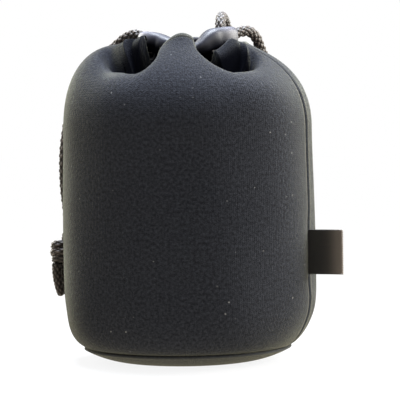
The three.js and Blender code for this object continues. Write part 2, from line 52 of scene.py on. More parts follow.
# Body: a round wall of two panels on a round base
BODY_RADIUS = 45 * MM
WALL_THICKNESS = 5 * MM
RIM_THICKNESS = 2.6 * MM
FOOT_THICKNESS = 3.4 * MM
BASE_RADIUS = 37.4 * MM
BASE_FLAT_RADIUS = 21.5 * MM
BASE_THICKNESS = 5.2 * MM
BASE_SEAM_INSET = 0.8 * MM
FOOT_HEIGHT = 21 * MM
FOOT_FLARE = 2.7 * MM
FOOT_SPRING = 1.2 * MM
FOOT_BULGE = 5 * MM
SHOULDER_HEIGHT = 84 * MM
SEW_GAP = 0.3 * MM
SEAM_RADIUS = 37.3 * MM
SEAM_HEIGHT = BASE_THICKNESS + SEW_GAP

# Side seams, where the thick panel edges meet
RIGHT_SEAM = np.radians(-17)
LEFT_SEAM = np.radians(163)
SEAM_ROUND = 2.1 * MM
SEAM_SPLIT = 0.12 * MM
TAPE_WIDTH = 12 * MM
TAPE_THICKNESS = 0.8 * MM
BASE_TAPE_WIDTH = 3.4 * MM
BASE_TAPE_HEIGHT = 3.6 * MM
BASE_TAPE_TUCK = 1.9 * MM
BASE_TAPE_RIPPLE = 0.12 * MM
TAPE_BOTTOM = 0.55
TAPE_TOP = 2.3

# Gathered top: four lobes with four pleats between them, heights above the shoulder
FRONT_LOBE_RISE = 34 * MM
BACK_LOBE_RISE = 31 * MM
LEFT_LOBE_RISE = 30 * MM
RIGHT_LOBE_RISE = 30 * MM
LOBE_RIM_RADIUS = 22 * MM
LOBE_CROWN_RADIUS = 25 * MM
LOBE_CROWN_RISE = 27 * MM
LOBE_SHOULDER_RISE = 23 * MM
FRONT_RIM_FULLNESS = -2 * MM
LEFT_CROWN_FULLNESS = 7 * MM
LEFT_RIM_FULLNESS = 2 * MM
LEFT_SHOULDER_FULLNESS = 2 * MM
LEFT_RISE_FULLNESS = 3 * MM
PLEAT_RIM_RADIUS = 17.5 * MM
PLEAT_RIM_RISE = 21 * MM
PLEAT_CROWN_RADIUS = 37 * MM
PLEAT_CROWN_RISE = 25.2 * MM
PLEAT_SHOULDER_RISE = 18.2 * MM
PLEAT_DIP = 12 * MM
PLEAT_DIP_PLACE = 0.83
PLEAT_DIP_WIDTH = 0.11
PLEAT_TURN = (0.55, 0.92)
PLEATS_AT_LIP = ((29, 13, 61, 13), (119, 13, 151, 13), (207, 16, 246, 8), (291, 10, 326, 15))
PLEATS_AT_RIM = ((25, 9, 65, 9), (115, 9, 155, 9), (196, 13, 241, 6), (283, 7, 330, 9))
TONGUE_MIDDLE = 266
TONGUE_ARCH = 0.0105 * MM
TONGUE_REACH = 22
HEM = 0.8 * MM
LEFT_LAYERS = ((229, 208), (232, 224))
RIGHT_LAYERS = ((311, 333), (300, 298))
LAYER_FLANK = 1.6
LAYER_SLANT = (0.8, 1.0)
LAYER_START = (0.74, 1.0)
LAYER_RISE = 12 * MM
LAYER_OUT = 3.2 * MM
LOBE_COVER = 0.5
COVER_EDGE = (-7, 1)
COVER_START = (0.7, 0.95)
LEAN = -1 * MM
LEAN_BOTTOM = 7 * MM
LEAN_TOP = 20 * MM
SEWN_LINE_WIDTH = 0.2 * MM
SEWN_LINE_DEPTH = 0.12 * MM

# Spans of azimuth on the gather, in degrees: the start and its flank, the end and its flank
FRONT_FOLDS = (182, 4, 355, 3)
LEFT_COVER = (182, 6, 250, 5)
LEFT_FOLD_LIFT = (218, 9, 234, 3)
RIGHT_FOLD_SLOPE = (290, 4, 312, 14)
LEFT_FOLD_SHADE = (214, 8, 260, 5)
LIP_SHADES = ((190, 10, 240, 5), (296, 5, 340, 10))

# Spans up the gather over which painted shade sets in, or is lifted on the folds' lit edges, as in wall_point
PLEAT_DARKENS = (2.66, 2.75)
LIP_DARKENS = (2.6, 2.74)
LEFT_EDGE_LIT = (2.76, 2.94)
RIGHT_EDGE_LIT = (2.9, 3.0)
FOLD_EDGE_LIT = (2.925, 2.995)
FOLD_SHADE = 0.85
LIP_SHADE = 0.42

# Painted highlights on the wall: the azimuth in degrees, places and spans up the wall as in wall_point
RIM_HIGHLIGHT = 0.9 * MM
RIM_TOP_HIGHLIGHT = 0.65
SEAM_HIGHLIGHT = 0.6 * MM
BASE_HIGHLIGHT = 0.7 * MM
FOOT_HIGHLIGHT_PLACE = 0.03
FOOT_HIGHLIGHT_SPAN = 0.05
PATCH_AZIMUTH = 222
PATCH_WIDTH = 8
PATCH_PLACE = 2.57
PATCH_SPAN = 0.06

# Drawstring and its coated casing
CORD_DIAMETER = 3.6 * MM
CORD_CLEARANCE = 0.3 * MM
CASING_RADIUS = 15 * MM
CASING_TUCK = 1.6 * MM
CASING_RISE = 27.8 * MM
CASING_HEIGHT = 7.4 * MM
CASING_WALL = 0.9 * MM
CASING_PUCKER = 0.35 * MM
CASING_PUCKER_PITCH = 5.2 * MM
CASING_PUCKER_DRIFT = 17 * MM
FRONT_CASING_ENDS = ((170, -0.4 * MM, 3.2 * MM, 200, 275), (344, 1.3 * MM, 4.0 * MM, 312, 274))
BACK_CASING_ENDS = ((32, -1.3 * MM, -1.2 * MM, 32, 66), (138, 4.2 * MM, -0.6 * MM, 138, 104))
FRONT_CASING_SWELLS = ((-0.08, 9 * MM), (0.13, 12 * MM))
CASING_HIGHLIGHTS = ((0.65, 6 * MM, 4 * MM), (0.3, 3 * MM, 2.5 * MM))
CASING_PINCH = 0.45
CASING_PINCH_PLACE = 280
CASING_PINCH_SPAN = 20
BACK_CASING_SWELLS = ((0.2, 4.5 * MM), (0.2, 4.5 * MM))

# Braid of the cord
CARRIERS = 6
BRAID_PITCH = 1.35 * MM
BRAID_RELIEF = 0.55 * MM
CORD_SIDES = 48
CORD_STEP = 0.2 * MM

# Cord lock behind the right shoulder
LOCK_AZIMUTH = np.radians(52)
LOCK_RADIUS = 51.6 * MM
LOCK_HEIGHT = 70 * MM
STRAND_SPACING = 4 * MM
SPRING_START = -11.4 * MM
SPRING_LENGTH = 5.4 * MM
SPRING_WIRE = 0.6 * MM
SPRING_RADIUS = 3 * MM
SPRING_TURNS = 5

# Knotted ends on the left
KNOT_AZIMUTH = np.radians(158)
KNOT_OUT = 50.3 * MM
KNOT_HEIGHT = 37.7 * MM
KNOT_LENGTH = 9 * MM
TAIL_LENGTH = 12.6 * MM
TAIL_SPLAY = 0.3
KNOT_TURN_RADIUS = 1.5 * MM
KNOT_CORE_RADIUS = 1.6 * MM

# Tag and belt loop
TAG_ROOT = 44.1 * MM
TAG_LENGTH = 13 * MM
TAG_HEIGHT = 16 * MM
TAG_MIDDLE_HEIGHT = 39.4 * MM
TAG_PLY = 0.5 * MM
TAG_SLIT = 0.35 * MM
TAG_DRAW = 0.25 * MM
TAG_DRAW_SPAN = np.radians(6)
TAG_BOW = 0.25 * MM
TAG_FRINGE = 0.16 * MM
TAG_FRINGE_PITCH = 0.62 * MM
TAG_FOLD_WIDTH = 0.5 * MM
TAG_HIGHLIGHT_WIDTH = 3.8 * MM
LOOP_AZIMUTH = np.radians(90)
LOOP_WIDTH = 22 * MM
LOOP_THICKNESS = 1.6 * MM
LOOP_BOTTOM = 28 * MM
LOOP_TOP = 86 * MM
LOOP_SEWN_LENGTH = 8 * MM
LOOP_STAND_OFF = 8.5 * MM
LOOP_RIB = 1.7 * MM
STITCH_PITCH = 2.4 * MM
STITCH_LENGTH = 2 * MM
STITCH_WIDTH = 0.55 * MM
STITCH_INSET = 1.8 * MM

# Routes of the free cord, in millimetres
LEFT_FRONT_ROUTE = (
    (-14.6, 0.6, 115.0), (-14.5, 2.6, 115.3), (-15.4, 4.7, 116.2), (-17.9, 7.3, 117.1), (-21.5, 9.9, 116.0),
    (-25.2, 12.2, 113.1), (-29.0, 14.6, 109.6), (-32.8, 16.6, 106.0), (-36.6, 18.2, 102.0),
    (-39.8, 19.0, 97.6), (-42.0, 19.0, 91.8), (-43.6, 17.6, 84.0), (-44.9, 15.6, 74.0),
    (-44.9, 15.6, 62.0), (-44.1, 16.8, 53.0), (-43.9, 17.9, 46.0), (-45.2, 18.2, 41.4),
)
LEFT_BACK_ROUTE = (
    (-13.9, 12.1, 111.9), (-17.2, 12.4, 111.3), (-20.8, 14.2, 109.6), (-24.4, 17.0, 106.9),
    (-28.2, 19.8, 104.3), (-32.4, 22.0, 101.6), (-36.4, 23.2, 97.8), (-39.6, 23.2, 92.6),
    (-41.2, 22.6, 86.0), (-41.9, 21.6, 78.0), (-41.9, 21.6, 60.0), (-42.2, 22.0, 50.0), (-43.3, 20.6, 41.9),
)
PULL_LOOP_RIGHT_ROUTE = (
    (15.67, -4.5, 115.4), (17.0, -1.8, 116.9), (19.4, 0.6, 117.8), (22.4, 3.0, 117.9), (24.9, 5.8, 115.9),
    (26.6, 9.4, 111.8), (28.3, 14.4, 107.6), (30.7, 19.6, 104.6), (33.1, 24.8, 102.4), (34.7, 29.8, 100.0),
    (35.2, 34, 96.8), (34.5, 37.6, 92.4),
)
STRAND_HEIGHTS = (86, 80, 74, 68, 62, 57)
PULL_LOOP_BIGHT = (
    (2.6, 50.9, 52), (4.6, 49.6, 47), (6.8, 48.5, 42), (7.3, 47.9, 37), (5.2, 47.5, 32.6),
    (0, 47.4, 30.4),
)
PULL_LOOP_BACK_ROUTE = (
    (28.6, 40.9, 92.6), (26.2, 38, 97.6), (23.6, 34.6, 101.8), (20.8, 30.6, 105.2),
    (18.4, 26.6, 108.6), (16.4, 22.9, 112.8), (15, 19.2, 117.4), (14, 15, 121.1),
    (13.1, 10, 122.9), (12.6, 5.2, 122.5), (12.3, 1.6, 120), (12.4, 0.2, 116.4), (12.5, 0.4, 113),
    (12.2, 2, 111.2), (11.5, 4.2, 110.7), (11, 5.8, 111.15),
)

# Camera: on the photograph's level, a little above the middle of the pouch
CAMERA_PLACE = (0.0041, -1.5, 0.1755)
CAMERA_AIM = (0.0041, 0.0, 0.0575)
CAMERA_LENS = 376
CAMERA_SENSOR = 36.0
CAMERA_ROLL = np.radians(-0.85)


# Shader maths

def put(tree, socket, value):
    """Sets a socket to a number or colour, or links a value to it."""
    if isinstance(value, Value):
        tree.links.new(value.socket, socket)
    else:
        socket.default_value = value


def math_method(operation, swapped=False):
    """A method that adds one Math node; a reflected operator swaps its two values."""
    def method(self, other=0.0):
        node = self.tree.nodes.new("ShaderNodeMath")
        node.operation = operation
        put(self.tree, node.inputs[0], other if swapped else self)
        put(self.tree, node.inputs[1], self if swapped else other)
        return Value(self.tree, node.outputs[0])
    return method


class Value:
    """One socket of a shader; sums, products and powers of values add Math nodes."""

    def __init__(self, tree, socket):
        self.tree = tree
        self.socket = socket

    __add__ = math_method("ADD")
    __radd__ = math_method("ADD", True)
    __sub__ = math_method("SUBTRACT")
    __rsub__ = math_method("SUBTRACT", True)
    __mul__ = math_method("MULTIPLY")
    __rmul__ = math_method("MULTIPLY", True)
    __pow__ = math_method("POWER")
    above = math_method("GREATER_THAN")
    sine = math_method("SINE")
    exponential = math_method("EXPONENT")


class Finish:
    """A material, or the world's shader, whose nodes are added one by one."""

    def __init__(self, owner):
        owner.use_nodes = True
        self.owner = owner
        self.tree = owner.node_tree
        self.tree.nodes.clear()

    def node(self, kind, sockets=None, output=0, **settings):
        """Adds a node: its settings first, then its sockets by name or number; returns one of its outputs."""
        node = self.tree.nodes.new("ShaderNode" + kind)
        for name, value in settings.items():
            setattr(node, name, value)
        for name, value in (sockets or {}).items():
            put(self.tree, node.inputs[name], value)
        return Value(self.tree, node.outputs[output]) if len(node.outputs) else None

    def mix(self, share, first, second):
        """Colour between two colours."""
        return self.node("Mix", {0: share, 6: first, 7: second}, 2, data_type="RGBA")

    def stretched(self, vector, scale):
        return self.node("Mapping", {"Vector": vector, "Scale": scale})

    def noise(self, vector, scale, detail=2.0, roughness=0.5):
        sockets = {"Vector": vector, "Scale": scale, "Detail": detail, "Roughness": roughness}
        return self.node("TexNoise", sockets, "Fac")

    def coordinates(self, kind):
        return self.node("TexCoord", None, kind)

    def attribute(self, name):
        return self.node("Attribute", None, "Fac", attribute_name=name)

    def along(self, vector):
        """The first two coordinates of a vector."""
        return [self.node("SeparateXYZ", {0: vector}, axis) for axis in (0, 1)]

    def bump(self, height, distance, strength, rounding=0.0):
        """The normal of a relief; a rounding shades the edges under it as if they were rounded by so much."""
        sockets = {"Height": height, "Distance": distance, "Strength": strength}
        if rounding:
            sockets["Normal"] = self.node("Bevel", {"Radius": rounding}, samples=8)
        return self.node("Bump", sockets)

    def surface(self, sockets, with_painted_shade=False):
        """A principled shader, which goes over to a dull black, painted shade, where the painted shade
        attribute rises to 1.
        """
        shader = self.node("BsdfPrincipled", sockets)
        if with_painted_shade:
            shade_black = self.node("BsdfDiffuse", {"Color": (0.0015, 0.0017, 0.003, 1)})
            shader = self.node("MixShader", {0: self.attribute("painted_shade") * 0.97, 1: shader, 2: shade_black})
        self.node("OutputMaterial", {"Surface": shader})
        return self.owner


def new_finish(name):
    return Finish(bpy.data.materials.new(name))


def toned(tone, level):
    """A colour of the tone, made paler or darker."""
    return tuple(level * part for part in tone) + (1.0,)


def neoprene_finish():
    """Brushed jersey over foam: mottled charcoal, coarse fuzz over a fine knit, a few faint lint specks.

    Painted shade takes it to a dull black deep in the folds, and painted highlights take it towards a pale
    olive grey on rims, edges and one spot on the left lobe.
    """
    finish = new_finish("brushed_neoprene")
    uv = finish.coordinates("UV")
    across, along = finish.along(uv)
    cloud = finish.noise(uv, 45.0, 3.0)
    fuzz = finish.noise(uv, 1300.0, 2.0, 0.6)
    wales = (across * 7850.0).sine() * 0.5 + 0.5
    courses = (along * 9500.0 + (across * 3925.0).sine() * 1.2).sine() * 0.5 + 0.5
    grain = finish.noise(uv, 900.0, 4.0, 0.8)
    speck = finish.node("MapRange", {"Value": grain, "From Min": 0.40, "From Max": 0.70})
    tone = finish.mix(cloud, (0.0084, 0.0092, 0.0140, 1), (0.0152, 0.0160, 0.0212, 1))
    tone = finish.mix(speck * 0.72, tone, (0.050, 0.055, 0.072, 1))
    lint_places = {"Vector": uv, "Scale": 270.0}
    cells = finish.node("TexVoronoi", lint_places, "Distance")
    chance, strength = finish.along(finish.node("TexVoronoi", lint_places, "Color"))
    lint = (0.09 - cells).above(0.0) * chance.above(0.6) * strength ** 1.8
    tone = finish.mix(lint, tone, (0.21, 0.21, 0.22, 1))
    # Painted highlights: towards a pale olive grey on rims, edges and one spot on the left lobe
    tone = finish.mix(finish.attribute("painted_highlight") * 0.6, tone, (0.13, 0.13, 0.112, 1))
    height = fuzz * 0.8 + wales * courses * 0.2 + lint * 0.3
    return finish.surface({
        "Base Color": tone,
        "Roughness": 0.95,
        "Specular IOR Level": 0.12,
        "Sheen Weight": 0.24,
        "Sheen Roughness": 0.3,
        "Sheen Tint": (0.88, 0.85, 0.60, 1),
        "Normal": finish.bump(height, 0.00052, 0.8),
    }, True)


def casing_finish():
    """Smooth coated cloth: dark navy with a soft gloss, faint grain and fine creases."""
    finish = new_finish("coated_sleeve")
    uv = finish.coordinates("UV")
    grain = finish.noise(uv, 2600.0)
    crease = finish.noise(finish.stretched(uv, (900.0, 90.0, 1.0)), 1.0)
    cloud = finish.noise(uv, 160.0)
    tone = finish.mix(cloud, (0.020, 0.021, 0.034, 1), (0.040, 0.041, 0.058, 1))
    # Painted highlights: a pale lavender grey near the sleeve's ends
    tone = finish.mix(finish.attribute("highlit"), tone, (0.22, 0.21, 0.25, 1))
    return finish.surface({
        "Base Color": tone,
        "Roughness": 0.42 + 0.16 * cloud,
        "Specular IOR Level": 0.3,
        "Coat Weight": 0.04,
        "Coat Roughness": 0.25,
        "Normal": finish.bump(grain * 0.35 + crease * 0.65, 0.0002, 0.5),
    }, True)


def cord_finish():
    """Round braid: dark brown yarn, painted pale as a highlight where a strand crowns, with fine filaments
    along each strand.
    """
    finish = new_finish("braided_yarn")
    uv = finish.coordinates("UV")
    crown = finish.attribute("crown")
    tone = finish.attribute("strand")
    filament = finish.noise(finish.stretched(uv, (5200.0, 900.0, 1.0)), 1.0)
    dark = finish.mix(tone, (0.007, 0.005, 0.0045, 1), (0.014, 0.010, 0.009, 1))
    pale = finish.mix(tone, (0.042, 0.031, 0.028, 1), (0.122, 0.091, 0.083, 1))
    # Painted highlight: pale on each strand's crown, dark yarn between
    colour = finish.mix(crown ** 2.5, dark, pale)
    return finish.surface({
        "Base Color": colour,
        "Roughness": 0.6 - 0.15 * crown,
        "Specular IOR Level": 0.4,
        "Sheen Weight": 0.2,
        "Sheen Roughness": 0.35,
        "Sheen Tint": (0.95, 0.88, 0.84, 1),
        "Normal": finish.bump(filament, 0.00012, 0.6),
    })


def ribbed_finish(name, tone, rib, weft):
    """Woven ribbon: ribs along one direction of the strip and picks across it, from its own flat map."""
    finish = new_finish(name)
    uv = finish.coordinates("UV")
    across, along = finish.along(uv)
    ribs = (across * (2 * np.pi / rib)).sine() * 0.5 + 0.5
    picks = (along * (2 * np.pi / weft)).sine() * 0.5 + 0.5
    weave = ribs * 0.55 + picks * 0.45
    cloud = finish.noise(uv, 700.0, 3.0)
    colour = finish.mix(weave * 0.5 + cloud * 0.5, toned(tone, 0.45), toned(tone, 1.5))
    # Painted highlight: a paler, warmer copy of the tone where the highlight attribute is set
    highlit = (tone[0] * 1.1, tone[1] * 1.02, tone[2] * 0.85)
    colour = finish.mix(finish.attribute("painted_highlight"), colour, toned(highlit, 27))
    return finish.surface({
        "Base Color": colour,
        "Roughness": 0.8 - 0.12 * weave,
        "Specular IOR Level": 0.35,
        "Sheen Weight": 0.3,
        "Sheen Roughness": 0.4,
        "Normal": finish.bump(weave * 0.8 + cloud * 0.2, 0.00018, 0.8),
    })


def plastic_finish():
    """Moulded satin plastic with a fine spark-eroded grain and a little wear."""
    finish = new_finish("moulded_plastic")
    place = finish.coordinates("Object")
    grain = finish.noise(place, 2400.0)
    cloud = finish.noise(place, 220.0, 3.0)
    colour = finish.mix(cloud, (0.011, 0.011, 0.012, 1), (0.024, 0.024, 0.026, 1))
    return finish.surface({
        "Base Color": colour,
        "Roughness": 0.36 + 0.2 * cloud,
        "Specular IOR Level": 0.5,
        "Normal": finish.bump(grain, 0.00006, 0.5, 0.9 * MM),
    })


def steel_finish():
    """Drawn spring wire."""
    finish = new_finish("spring_wire")
    draw = finish.noise(finish.coordinates("Object"), 1800.0)
    return finish.surface({
        "Base Color": finish.mix(draw, (0.42, 0.43, 0.44, 1), (0.66, 0.67, 0.68, 1)),
        "Metallic": 1.0,
        "Roughness": 0.24 + 0.2 * draw,
    })


def thread_finish():
    """Sewing thread with a two-ply twist."""
    finish = new_finish("sewing_thread")
    twist = finish.noise(finish.coordinates("Object"), 3000.0)
    return finish.surface({
        "Base Color": finish.mix(twist, (0.012, 0.012, 0.013, 1), (0.045, 0.045, 0.047, 1)),
        "Roughness": 0.55,
        "Sheen Weight": 0.3,
        "Normal": finish.bump(twist, 0.00008, 0.6),
    })


FINISHES = {
    "neoprene": neoprene_finish(),
    "coated_casing": casing_finish(),
    "braided_cord": cord_finish(),
    "binding": ribbed_finish("binding_tape", (0.032, 0.032, 0.036), 0.9 * MM, 0.5 * MM),
    "woven_tag": ribbed_finish("woven_ribbon", (0.0078, 0.0070, 0.0074), 0.42 * MM, 0.36 * MM),
    "webbing": ribbed_finish("ribbed_webbing", (0.026, 0.026, 0.028), LOOP_RIB, 0.8 * MM),
    "lock_plastic": plastic_finish(),
    "spring_steel": steel_finish(),
    "thread": thread_finish(),
}


# Surfaces from grids of points

def grid_quads(rows, columns, wrap_rows=False, wrap_columns=False):
    """Quads between neighbouring grid points; a wrapped direction joins its last line to its first."""
    i = np.arange(rows if wrap_rows else rows - 1)
    j = np.arange(columns if wrap_columns else columns - 1)
    i, j = np.meshgrid(i, j, indexing="ij")
    below = (i + 1) % rows
    beside = (j + 1) % columns
    corners = (i * columns + j, i * columns + beside, below * columns + beside, below * columns + j)
    return np.stack(corners, axis=-1).reshape(-1, 4)


def add_object(name, data):
    made = bpy.data.objects.new(name, data)
    bpy.context.collection.objects.link(made)
    return made


def mesh_object(name, points, quads, values=None, uv=None):
    """A mesh object of the points and quads, with values given per point and uv per quad corner."""
    mesh = bpy.data.meshes.new(name)
    mesh.vertices.add(len(points))
    mesh.vertices.foreach_set("co", np.ascontiguousarray(points, dtype=np.float32).ravel())
    mesh.loops.add(quads.size)
    mesh.loops.foreach_set("vertex_index", quads.astype(np.int32).ravel())
    mesh.polygons.add(len(quads))
    mesh.polygons.foreach_set("loop_start", np.arange(0, quads.size, 4, dtype=np.int32))
    mesh.polygons.foreach_set("use_smooth", np.ones(len(quads), dtype=bool))
    if uv is not None:
        layer = mesh.uv_layers.new(name="UVMap")
        layer.data.foreach_set("uv", np.ascontiguousarray(uv, dtype=np.float32).ravel())
    for key, value in (values or {}).items():
        attribute = mesh.attributes.new(key, "FLOAT", "POINT")
        attribute.data.foreach_set("value", np.ascontiguousarray(value, dtype=np.float32).ravel())
    mesh.update(calc_edges=True)
    mesh.validate()
    return add_object(name, mesh)


def corner_uv(u, v):
    """The flat map at each quad corner; where the grid wraps, both maps already run one line past it."""
    corners = grid_quads(*u.shape)
    return np.stack([u.ravel()[corners], v.ravel()[corners]], axis=-1)


def past_wrap(values, axis):
    """The grid with its first line repeated after its last along one axis."""
    first = np.take(values, [0], axis=axis)
    return np.concatenate([values, first], axis=axis)


def lengths_along(points, axis):
    """Distance run along one axis of a grid of points, starting at zero."""
    steps = np.linalg.norm(np.diff(points, axis=axis), axis=-1)
    start = np.zeros_like(np.take(steps, [0], axis=axis))
    return np.concatenate([start, np.cumsum(steps, axis=axis)], axis=axis)


def surface_piece(name, points, wrap_rows=False, wrap_columns=False, values=None, flat=None):
    """A piece from a grid of points, with poles closed.

    Where no flat map is given, it is mapped by the distances run along both directions.
    """
    full = points
    if wrap_rows:
        full = past_wrap(full, 0)
    if wrap_columns:
        full = past_wrap(full, 1)
    u, v = flat or (lengths_along(full, 1), lengths_along(full, 0))
    quads = grid_quads(*points.shape[:2], wrap_rows, wrap_columns)
    piece = mesh_object(name, points.reshape(-1, 3), quads, values, corner_uv(u, v))
    close_poles(piece)
    return piece


def close_poles(piece):
    """Merges points that fall together and turns all faces outwards."""
    shell = bmesh.new()
    shell.from_mesh(piece.data)
    bmesh.ops.remove_doubles(shell, verts=shell.verts, dist=2e-7)
    bmesh.ops.dissolve_degenerate(shell, edges=shell.edges, dist=1e-8)
    bmesh.ops.recalc_face_normals(shell, faces=shell.faces)
    shell.to_mesh(piece.data)
    shell.free()
    piece.data.update()


def joined(name, pieces):
    """Several pieces as one."""
    shell = bmesh.new()
    for piece in pieces:
        shell.from_mesh(piece.data)
    mesh = bpy.data.meshes.new(name)
    shell.to_mesh(mesh)
    shell.free()
    for piece in pieces:
        bpy.data.meshes.remove(piece.data)
    return add_object(name, mesh)


def fit(piece, node, slot, body="pouch", finish=None):
    """Gives a piece its finish, picked by the slot unless one is named, and its body; where it stands for a
    solid, it is named after that and the solid is hidden.
    """
    piece.data.materials.clear()
    piece.data.materials.append(FINISHES[finish or slot])
    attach(piece, body)
    if node:
        piece.name = node + "_look"
        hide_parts(node)
    return piece


# Shapes of the wall

def bezier(a, b, c, d, t):
    s = 1 - t
    return s**3 * a + 3 * s**2 * t * b + 3 * s * t**2 * c + t**3 * d


def smoothstep(low, high, x):
    x = np.clip((x - low) / (high - low), 0, 1)
    return x * x * (3 - 2 * x)


def bell(x, middle, width):
    """1 at the middle, falling off to both sides as a bell curve."""
    return np.exp(-((x - middle) / width) ** 2)


def squared_off(wave, power):
    """A sine or cosine raised to a power with its sign kept, which makes a circle a rounded oblong."""
    return np.sign(wave) * np.abs(wave) ** power


def mixed(a, b, share):
    return a + (b - a) * share


def polar(angle, radius, height):
    angle, radius, height = np.broadcast_arrays(angle, radius, height)
    return np.stack([radius * np.cos(angle), radius * np.sin(angle), height], axis=-1)


def circle(count):
    """Even angles round a full turn."""
    return np.linspace(0, 2 * np.pi, count + 1)[:-1]


def unit(vectors):
    return vectors / np.maximum(np.linalg.norm(vectors, axis=-1, keepdims=True), 1e-12)


def window(degrees, start, start_flank, end, end_flank):
    """0 outside a span of azimuths and 1 inside it, with a smooth flank at both ends."""
    rise = smoothstep(start - start_flank, start + start_flank, degrees)
    return rise * (1 - smoothstep(end - end_flank, end + end_flank, degrees))


def pleat_share(angle, u=1.0):
    """0 on a lobe and 1 on a pleat; each pleat's span changes from the lip's to the rim's up the gather."""
    degrees = np.degrees(angle) % 360
    rise = smoothstep(*PLEAT_TURN, u)
    share = 0
    for lip, rim in zip(PLEATS_AT_LIP, PLEATS_AT_RIM):
        share = share + window(degrees, *(mixed(a, b, rise) for a, b in zip(lip, rim)))
    return np.clip(share, 0, 1)


def fold_layers(angle, u):
    """Two layers of cloth that overlap at the rim of both front pleats, before the ends of the sleeve.

    The first result is 1 on the layer that grows out of the lobe, the second on that layer and on the fold
    behind it. Their edges slant: each runs from one azimuth low down to another at the rim. The third
    result is how many degrees a point lies past the first layer's edge.
    """
    degrees = np.degrees(angle) % 360
    rise = smoothstep(*LAYER_SLANT, u)
    layers, pasts = [], []
    for left, right in zip(LEFT_LAYERS, RIGHT_LAYERS):
        past = np.minimum(degrees - mixed(*left, rise), mixed(*right, rise) - degrees)
        pasts.append(past)
        layers.append((1 - smoothstep(-LAYER_FLANK, LAYER_FLANK, past)) * window(degrees, *FRONT_FOLDS))
    return layers[0], layers[1], pasts[0]


def leaned(points):
    """Moves points sideways by the soft foot's lean, which fades out above the foot."""
    shift = LEAN * (1 - smoothstep(LEAN_BOTTOM, LEAN_TOP, points[..., 2]))
    return points + shift[..., None] * np.array([1.0, 0.0, 0.0])


def lobe_rise(angle):
    """Rim height of the lobes: the four heights carried round by the first two harmonics."""
    sides = (RIGHT_LOBE_RISE + LEFT_LOBE_RISE) / 2
    ends = (FRONT_LOBE_RISE + BACK_LOBE_RISE) / 2
    across = (RIGHT_LOBE_RISE - LEFT_LOBE_RISE) / 2 * np.cos(angle)
    along = (BACK_LOBE_RISE - FRONT_LOBE_RISE) / 2 * np.sin(angle)
    from_tongue = np.minimum(np.abs(np.degrees(angle) % 360 - TONGUE_MIDDLE), TONGUE_REACH)
    facing = np.clip(-np.sin(angle), 0, 1) ** 2
    arch = TONGUE_ARCH * (TONGUE_REACH**2 - from_tongue**2 - TONGUE_REACH**2 * facing)
    return (sides + ends) / 2 + across + along + (sides - ends) / 2 * np.cos(2 * angle) + arch


def soft_swell(angle, t):
    """How far the filled wall stands out of its even form: a few slow waves that fade out over the gather.

    Beside the tag the seam is drawn in, which leaves the tag room to fold.
    """
    slow = 0.20 * np.sin(2 * angle + 0.7) * np.sin(1.9 * t + 0.4)
    slow += 0.25 * np.sin(5 * angle + 2.1) * np.sin(2.7 * t)
    slow += 0.18 * np.sin(9 * angle - 1.0 + 1.5 * t)
    slow += 0.45 * bell(t, 1.25, 0.5) - 0.25 * smoothstep(1.55, 2.0, t)
    gather = smoothstep(2.25, 2.9, t)
    swell = slow * smoothstep(0.1, 0.9, t) * (1 - 0.7 * gather) * MM
    from_tag = (angle - RIGHT_SEAM + np.pi) % (2 * np.pi) - np.pi
    at_tag = smoothstep(0.92, 1.05, t) * (1 - smoothstep(1.39, 1.52, t))
    return mixed(swell, -TAG_DRAW, bell(from_tag, 0, TAG_DRAW_SPAN) * at_tag)


def lobe_curve(angle, u):
    """Radius and rise of a lobe up the gather; the left lobe is fuller, the middle tongue's rim drawn in."""
    left = np.clip(-np.cos(angle), 0, 1) ** 2
    tongue = np.clip(-np.sin(angle), 0, 1) ** 8
    crown = LOBE_CROWN_RADIUS + LEFT_CROWN_FULLNESS * left
    rim = LOBE_RIM_RADIUS + LEFT_RIM_FULLNESS * left + FRONT_RIM_FULLNESS * tongue
    shoulder_rise = LOBE_SHOULDER_RISE + LEFT_SHOULDER_FULLNESS * left
    crown_rise = LOBE_CROWN_RISE + LEFT_RISE_FULLNESS * left
    radius = bezier(BODY_RADIUS, BODY_RADIUS, crown, rim, u)
    return radius, bezier(0, shoulder_rise, crown_rise, lobe_rise(angle), u)


def pleat_curve(angle, u, lobe_layer, fold_layer):
    """Radius and rise of a pleat up the gather: a dip behind the lip, and both fold layers up at the rim."""
    degrees = np.degrees(angle) % 360
    near_rim = smoothstep(*LAYER_START, u)
    radius = bezier(BODY_RADIUS, BODY_RADIUS, PLEAT_CROWN_RADIUS, PLEAT_RIM_RADIUS, u)
    radius = radius + LAYER_OUT * (lobe_layer + fold_layer) * near_rim
    dip = PLEAT_DIP * bell(u, PLEAT_DIP_PLACE, PLEAT_DIP_WIDTH) * (1 - 0.3 * fold_layer - 0.3 * lobe_layer)
    rise = bezier(0, PLEAT_SHOULDER_RISE, PLEAT_CROWN_RISE, PLEAT_RIM_RISE, u) - dip
    slope = mixed(1, 0.65, window(degrees, *RIGHT_FOLD_SLOPE)) + 0.14 * window(degrees, *LEFT_FOLD_LIFT)
    return radius, rise + LAYER_RISE * fold_layer * near_rim * slope


